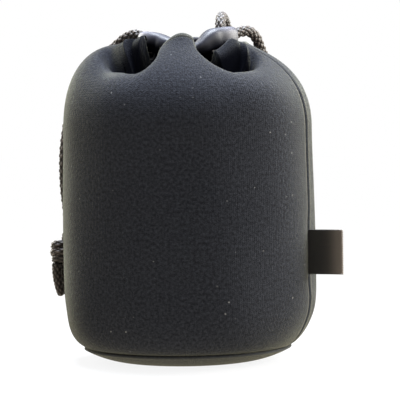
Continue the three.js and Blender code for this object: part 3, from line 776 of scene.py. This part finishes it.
def wall_point(angle, t):
    """Outer wall. t runs 0..1 up the foot, 1..2 up the barrel and 2..3 over the gather.

    Foot and gather are cubic curves in radius and height; the gather is a blend of a lobe's and a pleat's.
    """
    angle, t = np.broadcast_arrays(angle, t)
    foot = np.clip(t, 0, 1)
    barrel = np.clip(t - 1, 0, 1)
    u = np.clip(t - 2, 0, 1)
    lobe_layer, fold_layer, past = fold_layers(angle, u)
    cover = LOBE_COVER * (1 - smoothstep(*COVER_EDGE, past)) * window(np.degrees(angle) % 360, *LEFT_COVER)
    share = pleat_share(angle, u) * (1 - cover * smoothstep(*COVER_START, u))
    foot_top = SEAM_HEIGHT + FOOT_HEIGHT
    foot_radius = bezier(SEAM_RADIUS, SEAM_RADIUS + FOOT_FLARE, BODY_RADIUS, BODY_RADIUS, foot)
    foot_height = bezier(SEAM_HEIGHT, SEAM_HEIGHT + FOOT_SPRING, SEAM_HEIGHT + FOOT_BULGE, foot_top, foot)
    lobe_radius, lobe_lift = lobe_curve(angle, u)
    pleat_radius, pleat_lift = pleat_curve(angle, u, lobe_layer, fold_layer)
    gather_radius = mixed(lobe_radius, pleat_radius, share)
    gather_height = SHOULDER_HEIGHT + mixed(lobe_lift, pleat_lift, share)
    parts = [t <= 1, t <= 2]
    radius = np.select(parts, [foot_radius, BODY_RADIUS], gather_radius)
    height = np.select(parts, [foot_height, mixed(foot_top, SHOULDER_HEIGHT, barrel)], gather_height)
    return leaned(polar(angle, radius + soft_swell(angle, t), height))


def wall_directions(angle, t):
    """The wall's outward normal and its direction up the wall, from differences of neighbouring points."""
    up = wall_point(angle, np.minimum(t + 0.01, 3)) - wall_point(angle, np.maximum(t - 0.01, 0))
    around = wall_point(angle + 0.01, t) - wall_point(angle - 0.01, t)
    return unit(np.cross(around, up)), unit(up)


def wall_thickness(t):
    lower = mixed(FOOT_THICKNESS, WALL_THICKNESS, smoothstep(0, 1, t))
    return mixed(lower, RIM_THICKNESS, smoothstep(2, 3, t))


# Neoprene panels

def panel_angles(start, end, columns=290):
    """Even columns, closing up towards both seams, and how full the rounded edge is at each."""
    reach = (SEAM_ROUND + SEAM_SPLIT) / BODY_RADIUS
    turn = np.linspace(0, np.pi / 2, 12)
    edge = SEAM_SPLIT / BODY_RADIUS + (1 - np.cos(turn)) * SEAM_ROUND / BODY_RADIUS
    middle = np.linspace(start + reach, end - reach, columns)[1:-1]
    angles = np.concatenate([start + edge, middle, (end - edge)[::-1]])
    full = np.concatenate([np.sin(turn), np.ones_like(middle), np.sin(turn)[::-1]])
    return angles, full


def panel_rows():
    """Heights up the wall in one column, closer over the gather and closest at its rim."""
    foot = np.linspace(0, 1, 26)[:-1]
    barrel = np.linspace(1, 2, 24)[:-1]
    gather = 2 + np.sin(np.linspace(0, np.pi / 2, 74)) ** 1.15
    return np.concatenate([foot, barrel, gather])[:, None]


def panel_highlights(angles, t, from_rim, from_seam):
    """Painted highlights on the outer face: along the rim, just above the foot, beside the side seams and a
    spot on the left lobe.
    """
    painted_highlight = bell(from_rim, 0, RIM_HIGHLIGHT) * (1 - pleat_share(angles))
    painted_highlight += 0.4 * bell(t, FOOT_HIGHLIGHT_PLACE, FOOT_HIGHLIGHT_SPAN)
    painted_highlight += 0.8 * bell(from_seam, SEAM_ROUND, SEAM_HIGHLIGHT) * (1 - smoothstep(2.1, 2.5, t))
    from_patch = (np.degrees(angles) % 360 - PATCH_AZIMUTH) / PATCH_WIDTH
    return painted_highlight + 0.5 * np.exp(-from_patch**2 - ((t - PATCH_PLACE) / PATCH_SPAN) ** 2)


def panel_painted_shade(angles, t):
    """Painted shade on the outer face: how black it is in the pleats, apart from the folds' lit edges, and
    behind the lips.
    """
    degrees = np.degrees(angles) % 360
    lobe_layer, fold_layer, past = fold_layers(angles, t - 2)
    right_side = smoothstep(265, 275, degrees)
    lobe_lit = mixed(smoothstep(*LEFT_EDGE_LIT, t), smoothstep(*RIGHT_EDGE_LIT, t), right_side)
    lobe_lit = lobe_lit * (1 - FOLD_SHADE * window(degrees, *LEFT_FOLD_SHADE))
    lit = (fold_layer - lobe_layer) * smoothstep(*FOLD_EDGE_LIT, t) + lobe_layer * lobe_lit
    shade = FOLD_SHADE * bell(past, 1.5, 3) * fold_layer
    depth = pleat_share(angles, t - 2) * smoothstep(*PLEAT_DARKENS, t)
    depth = depth * np.maximum(1 - np.clip(lit, 0, 1), shade)
    behind_lip = sum(window(degrees, *lip) for lip in LIP_SHADES)
    return depth, LIP_SHADE * behind_lip * smoothstep(*LIP_DARKENS, t)


def panel(name, start, end):
    """A thick panel: a middle surface with a half thickness that rounds off to nothing at both side seams.

    The section runs up the outer face, in a half circle over the rim, down the inner face and back under the
    foot. Just below the rim a narrow sewn line is drawn in.
    """
    angles, full = panel_angles(start, end)
    t = panel_rows()
    outer = wall_point(angles, t)
    normal, up = wall_directions(angles, t)
    half = wall_thickness(t) / 2
    middle = outer - normal * half[..., None]
    edge = full ** mixed(1, 0.35, smoothstep(2.0, 2.4, t))
    thick = (half * edge)[..., None]
    from_rim = lengths_along(outer[::-1], 0)[::-1]
    on_lobe = 1 - pleat_share(angles)
    sewn_line = bell(from_rim, HEM, SEWN_LINE_WIDTH) * on_lobe
    face = middle + normal * (thick - SEWN_LINE_DEPTH * (sewn_line * edge)[..., None])
    lining = middle - normal * thick
    bend = np.linspace(0, np.pi, 11)[1:-1, None, None]
    rim = middle[-1] + thick[-1] * (np.cos(bend) * normal[-1] + np.sin(bend) * up[-1])
    foot = middle[0] - thick[0] * (np.cos(bend) * normal[0] + np.sin(bend) * up[0])
    points = np.concatenate([face, rim, lining[::-1], foot])
    rows = len(t)
    on_rim = slice(rows, rows + len(rim))
    from_seam = np.minimum(angles - start, end - angles) * BODY_RADIUS
    # Painted highlights on the outer face and on the top of the rim over the lobes
    painted_highlight = np.zeros(points.shape[:2])
    painted_highlight[:rows] = panel_highlights(angles, t, from_rim, from_seam)
    painted_highlight[on_rim] = RIM_TOP_HIGHLIGHT * on_lobe
    depth, behind_lip = panel_painted_shade(angles, t)
    # Painted shade: the lining and the foot's underside black all over; on the face the pleats, the lips'
    # backs and the sewn line darkened
    painted_shade = np.ones(points.shape[:2])
    painted_shade[:rows] = np.maximum(np.maximum(depth, behind_lip), 0.5 * sewn_line)
    painted_shade[on_rim] = depth[-1]
    v = lengths_along(past_wrap(points, 0), 0)
    u = np.broadcast_to(angles * BODY_RADIUS, v.shape)
    values = {"painted_highlight": np.clip(painted_highlight, 0, 1), "painted_shade": painted_shade}
    piece = surface_piece(name, points, True, False, values, (u, v))
    fit(piece, name, "neoprene")


def base_panel():
    """A round pad: the turned profile of its flat underside, rounded lip and top."""
    flat = np.linspace(0, 1, 14)[:-1] ** 0.7
    lower = np.linspace(0, 1, 22)[:-1]
    upper = np.linspace(0, np.pi / 2, 9)[:-1]
    top = np.linspace(0, 1, 10)
    crest = BASE_THICKNESS - BASE_SEAM_INSET
    bowl = BASE_RADIUS - BASE_FLAT_RADIUS
    radius = np.concatenate([
        flat * BASE_FLAT_RADIUS,
        BASE_FLAT_RADIUS + bowl * lower,
        BASE_RADIUS - BASE_SEAM_INSET * (1 - np.cos(upper)),
        (BASE_RADIUS - BASE_SEAM_INSET) * (1 - top),
    ])
    height = np.concatenate([
        np.zeros_like(flat),
        crest * lower**1.9,
        crest + BASE_SEAM_INSET * np.sin(upper),
        np.full_like(top, BASE_THICKNESS),
    ])
    angles = circle(180)
    points = leaned(polar(angles, radius[:, None], height[:, None]))
    v = lengths_along(past_wrap(points, 1), 0)
    u = np.broadcast_to(np.append(angles, 2 * np.pi) * BASE_RADIUS, v.shape)
    # Painted highlight along the crest of the base's lip
    painted_highlight = np.broadcast_to(0.36 * bell(height, crest, BASE_HIGHLIGHT)[:, None], points.shape[:2])
    values = {"painted_highlight": painted_highlight, "painted_shade": np.zeros(points.shape[:2])}
    piece = surface_piece("base_panel", points, False, True, values, (u, v))
    fit(piece, "base_panel", "neoprene")


# Seam tapes inside

def side_tape(name, seam):
    """A tape laid over a side seam on the lining: the wall's inner face moved in by the tape's depth."""
    reach = TAPE_WIDTH / 2 / (BODY_RADIUS - WALL_THICKNESS)
    turn = np.linspace(-np.pi / 2, np.pi / 2, 25)
    angles = seam + reach * np.sin(turn)
    t = np.linspace(TAPE_BOTTOM, TAPE_TOP, 90)[:, None]
    ends = np.sqrt(1 - np.linspace(-1, 1, len(t)) ** 40)[:, None]
    normal, _ = wall_directions(angles, t)
    depth = wall_thickness(t) + SEW_GAP + TAPE_THICKNESS / 2
    middle = wall_point(angles, t) - normal * depth[..., None]
    half = (TAPE_THICKNESS / 2 * ends * np.sqrt(np.cos(turn)))[..., None]
    points = np.concatenate([middle - normal * half, (middle + normal * half)[::-1]])
    piece = surface_piece(name, points, True, False, {"painted_highlight": np.zeros(points.shape[:2])})
    fit(piece, name, "binding")


def base_tape():
    """A bound seam allowance: a rounded oblong turned round the inside of the base seam."""
    turn = circle(40)
    half_width = BASE_TAPE_WIDTH / 2
    half_height = BASE_TAPE_HEIGHT / 2
    radius = SEAM_RADIUS - BASE_TAPE_TUCK - half_width + half_width * squared_off(np.cos(turn), 0.6)
    height = SEAM_HEIGHT + half_height + half_height * squared_off(np.sin(turn), 0.6)
    angles = circle(240)[:, None]
    ripple = BASE_TAPE_RIPPLE * np.abs(np.sin(60 * angles))
    points = leaned(polar(angles, radius - ripple, height))
    piece = surface_piece("base_seam_tape", points, True, True, {"painted_highlight": np.zeros(points.shape[:2])})
    fit(piece, "base_seam_tape", "binding")


# Drawstring casing

def casing_path(ends, count):
    """Middle of the tunnel from end to end; towards each end it flares and rises to let the cord out."""
    azimuth = np.linspace(ends[0][0], ends[1][0], count)
    radius = CASING_RADIUS - CASING_TUCK * np.abs(np.sin(2 * np.radians(azimuth))) ** 4
    height = np.full(count, SHOULDER_HEIGHT + CASING_RISE)
    for _, flare, rise, near, far in ends:
        share = smoothstep(far, near, azimuth)
        radius = radius + flare * share
        height = height + rise * share
    return polar(np.radians(azimuth), radius, height)


def casing(name, ends, swells, rows=150, columns=72):
    """A gathered sleeve: a rounded upright oblong carried along the tunnel, in and out, as one closed skin.

    The outer skin is puckered across the path, most on its lower outer side where it is sewn to the rim. It
    swells towards its mouths and is pinched behind the middle tongue. Painted shade darkens its lower and
    inner sides, and painted highlights lighten its upper side near both ends.
    """
    path = casing_path(ends, rows)
    along = unit(np.gradient(path, axis=0))
    outward = unit(np.cross(along, (0, 0, 1)))
    upright = np.cross(outward, along)
    run = lengths_along(path, 0)[:, None]
    length = run[-1, 0]
    (first, first_reach), (last, last_reach) = swells
    near_first = bell(run, 0, first_reach)
    near_last = bell(run, length, last_reach)
    mouth = first * near_first + last * near_last
    azimuth = np.linspace(ends[0][0], ends[1][0], rows)[:, None]
    open_share = 1 - CASING_PINCH * bell(azimuth, CASING_PINCH_PLACE, CASING_PINCH_SPAN)
    turn = circle(columns)
    across = squared_off(np.cos(turn), 0.7)
    upward = -squared_off(np.sin(turn), 0.7)
    half_width = CORD_DIAMETER / 2 + CORD_CLEARANCE + CASING_WALL
    half_height = CASING_HEIGHT / 2
    wander = 1.2 * np.sin(run / CASING_PUCKER_DRIFT)
    pucker = np.sin(run / CASING_PUCKER_PITCH * 2 * np.pi + wander) * (1 - np.maximum(near_first, near_last))

    def tunnel(wide, tall):
        sideways = outward[:, None] * (wide * across)[..., None]
        return path[:, None] + sideways + upright[:, None] * (tall * upward)[..., None]

    wide = half_width * (1 + 0.8 * mouth) + CASING_PUCKER * pucker * (0.5 - 0.5 * upward)
    skin = tunnel(wide, half_height * (1 + mouth) * open_share)
    bore = tunnel(half_width - CASING_WALL, (half_height - CASING_WALL) * open_share)
    points = np.concatenate([skin, bore[::-1]])
    # Painted shade: the bore black all over, the skin darkened on its lower and inner sides
    painted_shade = np.ones(points.shape[:2])
    below = (1 - smoothstep(-0.2, 0.6, upward)) * (1 - 0.9 * near_last)
    painted_shade[:rows] = np.maximum(below, 1 - smoothstep(-0.8, 0.1, across))
    # Painted highlights on the upper skin near both ends
    highlit = np.zeros(points.shape[:2])
    for from_end, (share, place, spread) in zip((run, length - run), CASING_HIGHLIGHTS):
        highlit[:rows] += share * bell(from_end, place, spread) * smoothstep(-0.6, 0.2, upward)
    piece = surface_piece(name, points, True, True, {"painted_shade": painted_shade, "highlit": highlit})
    fit(piece, name, "coated_casing")


# Braided cord

def smooth_route(points):
    """A centripetal Catmull-Rom curve through the points, sampled finely and then at even steps."""
    p = np.asarray(points, dtype=float)
    p = np.concatenate([[2 * p[0] - p[1]], p, [2 * p[-1] - p[-2]]])
    gap = np.sqrt(np.linalg.norm(np.diff(p, axis=0), axis=1))[:, None]
    d0, d1, d2 = gap[:-2], gap[1:-1], gap[2:]
    x0, x1, x2, x3 = p[:-3], p[1:-2], p[2:-1], p[3:]
    t1 = ((x1 - x0) / d0 - (x2 - x0) / (d0 + d1) + (x2 - x1) / d1) * d1
    t2 = ((x2 - x1) / d1 - (x3 - x1) / (d1 + d2) + (x3 - x2) / d2) * d1
    s = np.linspace(0, 1, 40)[:-1][None, :, None]
    x1, x2, t1, t2 = (x[:, None] for x in (x1, x2, t1, t2))
    curve = (
        (2 * s**3 - 3 * s**2 + 1) * x1 + (s**3 - 2 * s**2 + s) * t1
        + (3 * s**2 - 2 * s**3) * x2 + (s**3 - s**2) * t2
    ).reshape(-1, 3)
    curve = np.concatenate([curve, p[-2:-1]])
    run = lengths_along(curve, 0)
    even = np.linspace(0, run[-1], int(round(run[-1] / CORD_STEP)) + 1)
    return np.stack([np.interp(even, run, curve[:, k]) for k in range(3)], axis=1)


def frames_along(path):
    """Two directions across the path that don't turn about it.

    They start from the fixed direction that lies least along the path, and the turning about the path that
    this leaves is added up and taken out.
    """
    along = unit(np.gradient(path, axis=0))
    trial = np.stack(np.meshgrid([-1, 0, 1], [-1, 0, 1], [0, 1]), axis=-1).reshape(-1, 3).astype(float)
    trial = unit(trial[np.linalg.norm(trial, axis=1) > 0])
    fixed = trial[np.argmin(np.abs(along @ trial.T).max(axis=0))]
    first = unit(np.cross(along, fixed))
    second = np.cross(along, first)
    twist = np.concatenate([[0], np.cumsum((np.diff(first, axis=0) * second[:-1]).sum(axis=1))])[:, None]
    return first * np.cos(twist) - second * np.sin(twist), first * np.sin(twist) + second * np.cos(twist)


def braid_height(turn, run):
    """Relief of a round braid and the tone of its strands.

    Two families of strands wind opposite ways, and each crossing is a pillow, longer along the strand on top.
    """
    a = CARRIERS * turn / (2 * np.pi) + run / (2 * BRAID_PITCH)
    b = CARRIERS * turn / (2 * np.pi) - run / (2 * BRAID_PITCH)
    over = (np.floor(a) + np.floor(b)) % 2 == 0
    wave_a = np.abs(np.sin(np.pi * a))
    wave_b = np.abs(np.sin(np.pi * b))
    crown = np.where(over, wave_a**0.85 * wave_b**0.35, wave_a**0.35 * wave_b**0.85)
    strand = np.where(over, np.floor(a), np.floor(b) + 37)
    tone = 0.5 + 0.5 * np.sin(strand * 12.9898 + 4.1 * over)
    return crown, tone


def braided_tube(name, path, radius=CORD_DIAMETER / 2, taper=1.0):
    """A braided cord along a path: a round tube with the braid's relief, its cut ends rounded off.

    The tube narrows evenly to the taper's share of its width at the far end.
    """
    run = lengths_along(path, 0)
    first, second = frames_along(path)
    turn = circle(CORD_SIDES)
    crown, tone = braid_height(turn[None, :], run[:, None])
    from_end = np.minimum(run, run[-1] - run)
    round_off = np.sqrt(np.clip(1 - (1 - np.clip(from_end / (0.7 * radius), 0, 1)) ** 2, 0, 1))
    narrowing = round_off * mixed(1, taper, run / run[-1])
    width = (radius - 0.62 * BRAID_RELIEF + BRAID_RELIEF * crown) * narrowing[:, None]
    across = first[:, None] * np.cos(turn)[:, None] + second[:, None] * np.sin(turn)[:, None]
    points = path[:, None] + across * width[..., None]
    v = np.broadcast_to(run[:, None], (len(run), CORD_SIDES + 1))
    u = np.broadcast_to(np.linspace(0, 2 * np.pi * radius, CORD_SIDES + 1), v.shape)
    return surface_piece(name, points, False, True, {"crown": crown, "strand": tone}, (u, v))


def in_metres(route):
    return np.asarray(route, dtype=float) * MM


def beside_lock(across, out, height):
    """Points beside the lock: across runs along its plunger, out from the pouch's axis."""
    side = np.array([np.sin(LOCK_AZIMUTH), -np.cos(LOCK_AZIMUTH), 0])
    across = np.asarray(across, dtype=float)
    return polar(LOCK_AZIMUTH, out, height) + across[..., None] * side


def pull_loop_points():
    """The right-hand bight: over the shoulder, down through the lock, round and up to the other casing."""
    heights = np.array(STRAND_HEIGHTS) * MM
    half = np.full(len(heights), STRAND_SPACING / 2)
    across, out, height = in_metres(PULL_LOOP_BIGHT).T
    return np.concatenate([
        in_metres(PULL_LOOP_RIGHT_ROUTE),
        beside_lock(half, LOCK_RADIUS, heights),
        beside_lock(across, out, height),
        beside_lock(-across, out, height)[-2::-1],
        beside_lock(-half, LOCK_RADIUS, heights)[::-1],
        in_metres(PULL_LOOP_BACK_ROUTE),
    ])


def lock_spring():
    """A round wire wound along a helix beside the lock."""
    turn = np.linspace(0, 2 * np.pi * SPRING_TURNS, 40 * SPRING_TURNS + 1)
    half = SPRING_WIRE / 2
    across = mixed(SPRING_START + half, SPRING_START + SPRING_LENGTH - half, turn / turn[-1])
    out = LOCK_RADIUS + SPRING_RADIUS * np.cos(turn)
    path = beside_lock(across, out, LOCK_HEIGHT + SPRING_RADIUS * np.sin(turn))
    first, second = frames_along(path)
    round_wire = circle(12)[:, None]
    ring = first[:, None] * np.cos(round_wire) + second[:, None] * np.sin(round_wire)
    width = np.full(len(path), half)
    width[[0, -1]] = 0
    piece = surface_piece("lock_spring", path[:, None] + ring * width[:, None, None], False, True)
    fit(piece, "lock_spring", "spring_steel", "lock")
    anchor = beside_lock(SPRING_START, LOCK_RADIUS, LOCK_HEIGHT)
    axis = beside_lock(-1.0, 0, 0) - beside_lock(0.0, 0, 0)
    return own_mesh(piece)


def free_cord(name, points):
    """A cord that hangs free along a smooth route through the points."""
    path = smooth_route(points)
    piece = fit(braided_tube(name, path), name, "braided_cord")


def casing_run(name, ends):
    """The cord inside a casing."""
    path = smooth_route(casing_path(ends, 17))
    fit(braided_tube(name, path), name, "braided_cord")


def knot_place(across, out, height):
    """Points of the knot: across runs round the pouch, out from its axis, height from the knot's middle."""
    outward = np.array([np.cos(KNOT_AZIMUTH), np.sin(KNOT_AZIMUTH), 0])
    around = np.array([-np.sin(KNOT_AZIMUTH), np.cos(KNOT_AZIMUTH), 0])
    middle = polar(KNOT_AZIMUTH, KNOT_OUT, KNOT_HEIGHT)
    across, out, height = (np.asarray(x, dtype=float)[..., None] for x in (across, out, height))
    return middle + around * across + outward * out + np.array([0, 0, 1.0]) * height


def end_knot():
    """One end wound round the other and drawn tight: a helix that widens, about a near-straight core."""
    share = np.linspace(0, 1, 90)
    angle = np.radians(mixed(-150, 830, share))
    radius = mixed(1.2 * MM, 2.7 * MM, smoothstep(0.02, 0.3, share))
    radius = radius * mixed(1, 0.75, smoothstep(0.85, 1, share))
    height = mixed(3.6 * MM, -3.2 * MM, share) + 0.5 * MM * np.cos(angle - 0.5)
    wrap = knot_place(radius * np.cos(angle), radius * np.sin(angle), height)
    core = knot_place(
        np.array([-2.4, -1.2, 0.2, 0.2, -0.9]) * MM,
        np.array([-1.4, -0.8, 0.2, 0.2, 0.3]) * MM,
        np.array([5.0, 2.8, 0.0, -2.4, -4.2]) * MM,
    )
    turns = braided_tube("knot_turns", smooth_route(wrap[::3]), KNOT_TURN_RADIUS)
    middle = braided_tube("knot_core", smooth_route(core), KNOT_CORE_RADIUS)
    return fit(joined("end_knot", [turns, middle]), "end_knot", "braided_cord")


def cord_tail(name, side):
    """A cut end below the knot: it splays a little, leans in to the wall and thins towards its cut."""
    share = np.linspace(0, 1, 6)
    spread = side * (CORD_DIAMETER / 2 + SEW_GAP) * (1 + TAIL_SPLAY * share)
    lean = (0.9 - 1.8 * share + 3.2 * share * (1 - share)) * MM
    drop = -0.36 * KNOT_LENGTH - share * TAIL_LENGTH
    path = smooth_route(knot_place(spread, lean, drop))
    return fit(braided_tube(name, path, taper=0.68), name, "braided_cord")


# Tag and belt loop

def side_tag():
    """A ribbon folded double: a ply's thickness carried along the folded line, with a rough fold edge.

    The line leaves the seam, runs out, turns in a half circle and runs back; top and bottom are cut square.
    """
    gap = (TAG_PLY + TAG_SLIT) / 2
    straight = TAG_LENGTH - 2 * gap
    out = np.linspace(0, 1, 50)
    turn = np.linspace(np.pi / 2, -np.pi / 2, 19)[1:-1]
    ply_x = gap + straight * out
    line_x = np.concatenate([ply_x, gap + straight + gap * np.cos(turn), ply_x[::-1]])
    ply_y = gap * mixed(0.62, 1.0, smoothstep(0, 0.2, out))
    line_y = np.concatenate([ply_y, gap * np.sin(turn), -ply_y[::-1]])
    line = np.stack([line_x, line_y], axis=1)
    along = unit(np.gradient(line, axis=0))
    normal = np.stack([-along[:, 1], along[:, 0]], axis=1)
    rows = 161
    height = np.linspace(-TAG_HEIGHT / 2, TAG_HEIGHT / 2, rows)[:, None]
    half = np.full((rows, 1, 1), TAG_PLY / 2)
    half[[0, -1]] = 0
    fold = bell(line_x, line_x.max(), TAG_FOLD_WIDTH)
    # Painted highlight: paler towards the fold edge, where the back light catches the ribbon
    highlit = 0.72 * bell(line_x, line_x.max(), TAG_HIGHLIGHT_WIDTH) + 0.28 * fold
    rough = fold * (TAG_FRINGE * np.sin(height / TAG_FRINGE_PITCH * 2 * np.pi))
    bow = TAG_BOW * np.sin((line_x / TAG_LENGTH) ** 2 * np.pi)
    outer, inner = line + half * normal, line - half * normal
    x = TAG_ROOT + np.concatenate([outer[..., 0] + rough, (inner[..., 0] + rough)[:, ::-1]], axis=1)
    y = np.concatenate([outer[..., 1] + bow, (inner[..., 1] + bow)[:, ::-1]], axis=1)
    cos, sin = np.cos(RIGHT_SEAM), np.sin(RIGHT_SEAM)
    z = np.broadcast_to(TAG_MIDDLE_HEIGHT + height, x.shape)
    points = np.stack([x * cos - y * sin, x * sin + y * cos, z], axis=-1)
    painted_highlight = 0.8 * np.broadcast_to(np.concatenate([highlit, highlit[::-1]]), x.shape)
    piece = surface_piece("side_tag", points, False, True, {"painted_highlight": painted_highlight})
    fit(piece, "side_tag", "woven_tag", "tag")


def loop_middle(height, across):
    """Middle surface of the belt loop: it lies on the back at both ends and bows out between them."""
    from_end = np.minimum(height - LOOP_BOTTOM, LOOP_TOP - height) - LOOP_SEWN_LENGTH
    bow = smoothstep(0, 1.5 * LOOP_STAND_OFF, from_end)
    radius = BODY_RADIUS + SEW_GAP + LOOP_THICKNESS / 2 + LOOP_STAND_OFF * bow
    return polar(LOOP_AZIMUTH + across / radius, radius, height)


def belt_loop():
    """A webbing strip: its middle surface with both faces, ribbed along its length, and round selvedges."""
    height = np.linspace(LOOP_BOTTOM, LOOP_TOP, 240)
    turn = np.linspace(-np.pi / 2, np.pi / 2, 97)
    across = LOOP_WIDTH / 2 * np.sin(turn)
    middle = loop_middle(height[:, None], across)
    up = unit(np.gradient(middle, axis=0))
    around = unit(np.gradient(middle, axis=1))
    normal = unit(np.cross(around, up))
    ribs = 1 - 0.12 * (0.5 + 0.5 * np.cos(across / LOOP_RIB * 2 * np.pi))
    edge = np.clip(np.cos(turn), 0, 1) ** 0.35
    half = np.broadcast_to((LOOP_THICKNESS / 2 * ribs * edge)[:, None], middle.shape[:2] + (1,)).copy()
    half[[0, -1]] = 0
    points = np.concatenate([middle + normal * half, (middle - normal * half)[:, ::-1]], axis=1)
    piece = surface_piece("belt_loop", points, False, True, {"painted_highlight": np.zeros(points.shape[:2])})
    fit(piece, "belt_loop", "webbing")


def stitches(name, places, directions, lifts):
    """A row of stitches: one small pillow copied to every place and turned along the row."""
    turn = circle(8)
    run = np.linspace(-1, 1, 7)
    bulge = np.sqrt(1 - run**4)[:, None]
    side = np.cross(lifts, directions)
    rise = bulge * np.sin(turn) * 0.4 + (1 - run**2)[:, None] * 0.35
    points = (
        places[:, None, None] + directions[:, None, None] * (run * STITCH_LENGTH / 2)[:, None, None]
        + side[:, None, None] * (bulge * np.cos(turn) * STITCH_WIDTH / 2)[..., None]
        + lifts[:, None, None] * (rise * STITCH_WIDTH)[..., None]
    )
    quads = grid_quads(len(run), len(turn), False, True)
    first = np.arange(len(places)) * len(run) * len(turn)
    piece = mesh_object(name, points.reshape(-1, 3), (quads + first[:, None, None]).reshape(-1, 4))
    close_poles(piece)
    return piece


def loop_stitching():
    """Box stitching with a cross at both sewn ends of the belt loop, on the face of the webbing."""
    half = LOOP_WIDTH / 2 - STITCH_INSET
    low = STITCH_INSET * 0.7
    high = LOOP_SEWN_LENGTH - 0.8 * MM
    corners = np.array([[-half, low], [half, low], [half, high], [-half, high]])
    flat, steps = [], []
    for a, b in ((0, 1), (1, 2), (2, 3), (3, 0), (0, 2), (1, 3)):
        span = corners[b] - corners[a]
        length = np.linalg.norm(span)
        count = max(int(length / STITCH_PITCH), 2)
        share = (np.arange(count) + 0.5) / count
        flat.append(corners[a] + span * share[:, None])
        steps.append(np.repeat((span / length)[None], count, axis=0))
    across, rise = np.concatenate(flat).T
    steps = np.concatenate(steps)
    radius = BODY_RADIUS + SEW_GAP + LOOP_THICKNESS
    angle = LOOP_AZIMUTH + across / radius
    lifts = polar(angle, 1.0, 0.0)
    around = polar(angle + np.pi / 2, 1.0, 0.0)
    pieces = []
    for end, up in ((LOOP_BOTTOM, 1), (LOOP_TOP, -1)):
        places = polar(angle, radius - 0.1 * MM, end + up * rise)
        directions = around * steps[:, :1] + np.array([0, 0, up]) * steps[:, 1:]
        pieces.append(stitches("loop_stitches", places, directions, lifts))
    fit(joined("loop_stitching", pieces), None, "webbing", finish="thread")


# Camera, light and floor

def aim(thing, place, target, roll=0.0):
    """Stands a lamp or camera at a place, looking at a target, turned about its own view line."""
    place = np.array(place, dtype=float)
    back = unit(place - np.array(target, dtype=float))
    right = unit(np.cross((0, 0, 1), back))
    up = np.cross(back, right)
    right, up = right * np.cos(roll) + up * np.sin(roll), up * np.cos(roll) - right * np.sin(roll)
    matrix = np.eye(4)
    matrix[:3, 0] = right
    matrix[:3, 1] = up
    matrix[:3, 2] = back
    matrix[:3, 3] = place
    thing.matrix_world = Matrix(matrix.tolist())


def add_camera():
    data = bpy.data.cameras.new("camera")
    data.lens = CAMERA_LENS
    data.sensor_width = CAMERA_SENSOR
    data.clip_start = 0.05
    data.clip_end = 50
    camera = add_object("camera", data)
    aim(camera, CAMERA_PLACE, CAMERA_AIM, CAMERA_ROLL)
    bpy.context.scene.camera = camera


def softbox(name, place, target, size, power, tint=(1, 1, 1)):
    data = bpy.data.lights.new(name, "AREA")
    data.shape = "RECTANGLE"
    data.size, data.size_y = size
    data.energy = power
    data.color = tint
    aim(add_object(name, data), place, target)


def add_lights():
    middle = (0, 0, 0.07)
    softbox("top_light", (0.0, 0.2, 0.76), middle, (0.5, 0.4), 26.0, (0.86, 0.92, 1.0))
    softbox("left_light", (-0.5, 0.65, 0.28), middle, (0.4, 0.5), 7.0, (1.0, 0.98, 0.86))
    softbox("right_light", (0.62, 0.2, 0.3), middle, (0.5, 0.5), 14.0, (1.0, 0.985, 0.9))
    softbox("front_fill", (0.55, -0.8, 0.35), middle, (0.7, 0.5), 1.8)


def seen_directly(finish):
    """1 where the camera looks straight at the surface."""
    return finish.node("LightPath", None, "Is Camera Ray")


def add_world():
    world = bpy.data.worlds.new("studio")
    bpy.context.scene.world = world
    finish = Finish(world)
    lit = finish.node("Background", {"Color": (0.9, 0.95, 1.0, 1), "Strength": 0.285})
    white = finish.node("Background", {"Color": (1, 1, 1, 1), "Strength": 1.0})
    shown = finish.node("MixShader", {0: seen_directly(finish), 1: lit, 2: white})
    finish.node("OutputWorld", {"Surface": shown})


def add_floor():
    """A wide pale floor; seen directly it is nearly white, and it keeps a faint shadow."""
    half = 6.0
    points = np.array([[-half, -half, 0], [half, -half, 0], [half, half, 0], [-half, half, 0]])
    floor = mesh_object("floor", points, np.array([[0, 1, 2, 3]]))
    finish = new_finish("pale_floor")
    bounce = finish.node("Emission", {"Color": (0.95, 0.88, 0.70, 1), "Strength": 1.25})
    pale = finish.node("BsdfDiffuse", {"Color": (0.9, 0.9, 0.95, 1)})
    white = finish.node("Emission", {"Color": (1, 1, 1, 1), "Strength": 1.0})
    place = finish.coordinates("Object")
    distance = finish.node("VectorMath", {0: place}, "Value", operation="LENGTH")
    fade = (distance * -9.0).exponential()
    lit = finish.node("MixShader", {0: 1.0 - 0.16 * fade, 1: pale, 2: white})
    shown = finish.node("MixShader", {0: seen_directly(finish), 1: bounce, 2: lit})
    finish.node("OutputMaterial", {"Surface": shown})
    floor.data.materials.append(finish.owner)


# The pouch

add_camera()
knot = end_knot()
tail_front = cord_tail("cord_tail_front", 1)
tail_back = cord_tail("cord_tail_back", -1)
spring = lock_spring()
lock_pieces = [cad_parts["lock_barrel"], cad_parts["lock_plunger"], spring]
free_cord("cord_left_front", in_metres(LEFT_FRONT_ROUTE))
free_cord("cord_left_back", in_metres(LEFT_BACK_ROUTE))
free_cord("cord_pull_loop", pull_loop_points())
casing_run("cord_front_run", FRONT_CASING_ENDS)
casing_run("cord_back_run", BACK_CASING_ENDS)
panel("front_panel", LEFT_SEAM, RIGHT_SEAM + 2 * np.pi)
panel("back_panel", RIGHT_SEAM, LEFT_SEAM)
base_panel()
side_tape("right_seam_tape", RIGHT_SEAM)
side_tape("left_seam_tape", LEFT_SEAM)
base_tape()
casing("front_casing", FRONT_CASING_ENDS, FRONT_CASING_SWELLS)
casing("back_casing", BACK_CASING_ENDS, BACK_CASING_SWELLS)
side_tag()
belt_loop()
loop_stitching()
for solid in lock_pieces[:2]:
    solid.data.materials.clear()
    solid.data.materials.append(FINISHES["lock_plastic"])

add_lights()
add_world()
add_floor()
bpy.context.scene.view_settings.view_transform = "Standard"

bpy.context.view_layer.update()
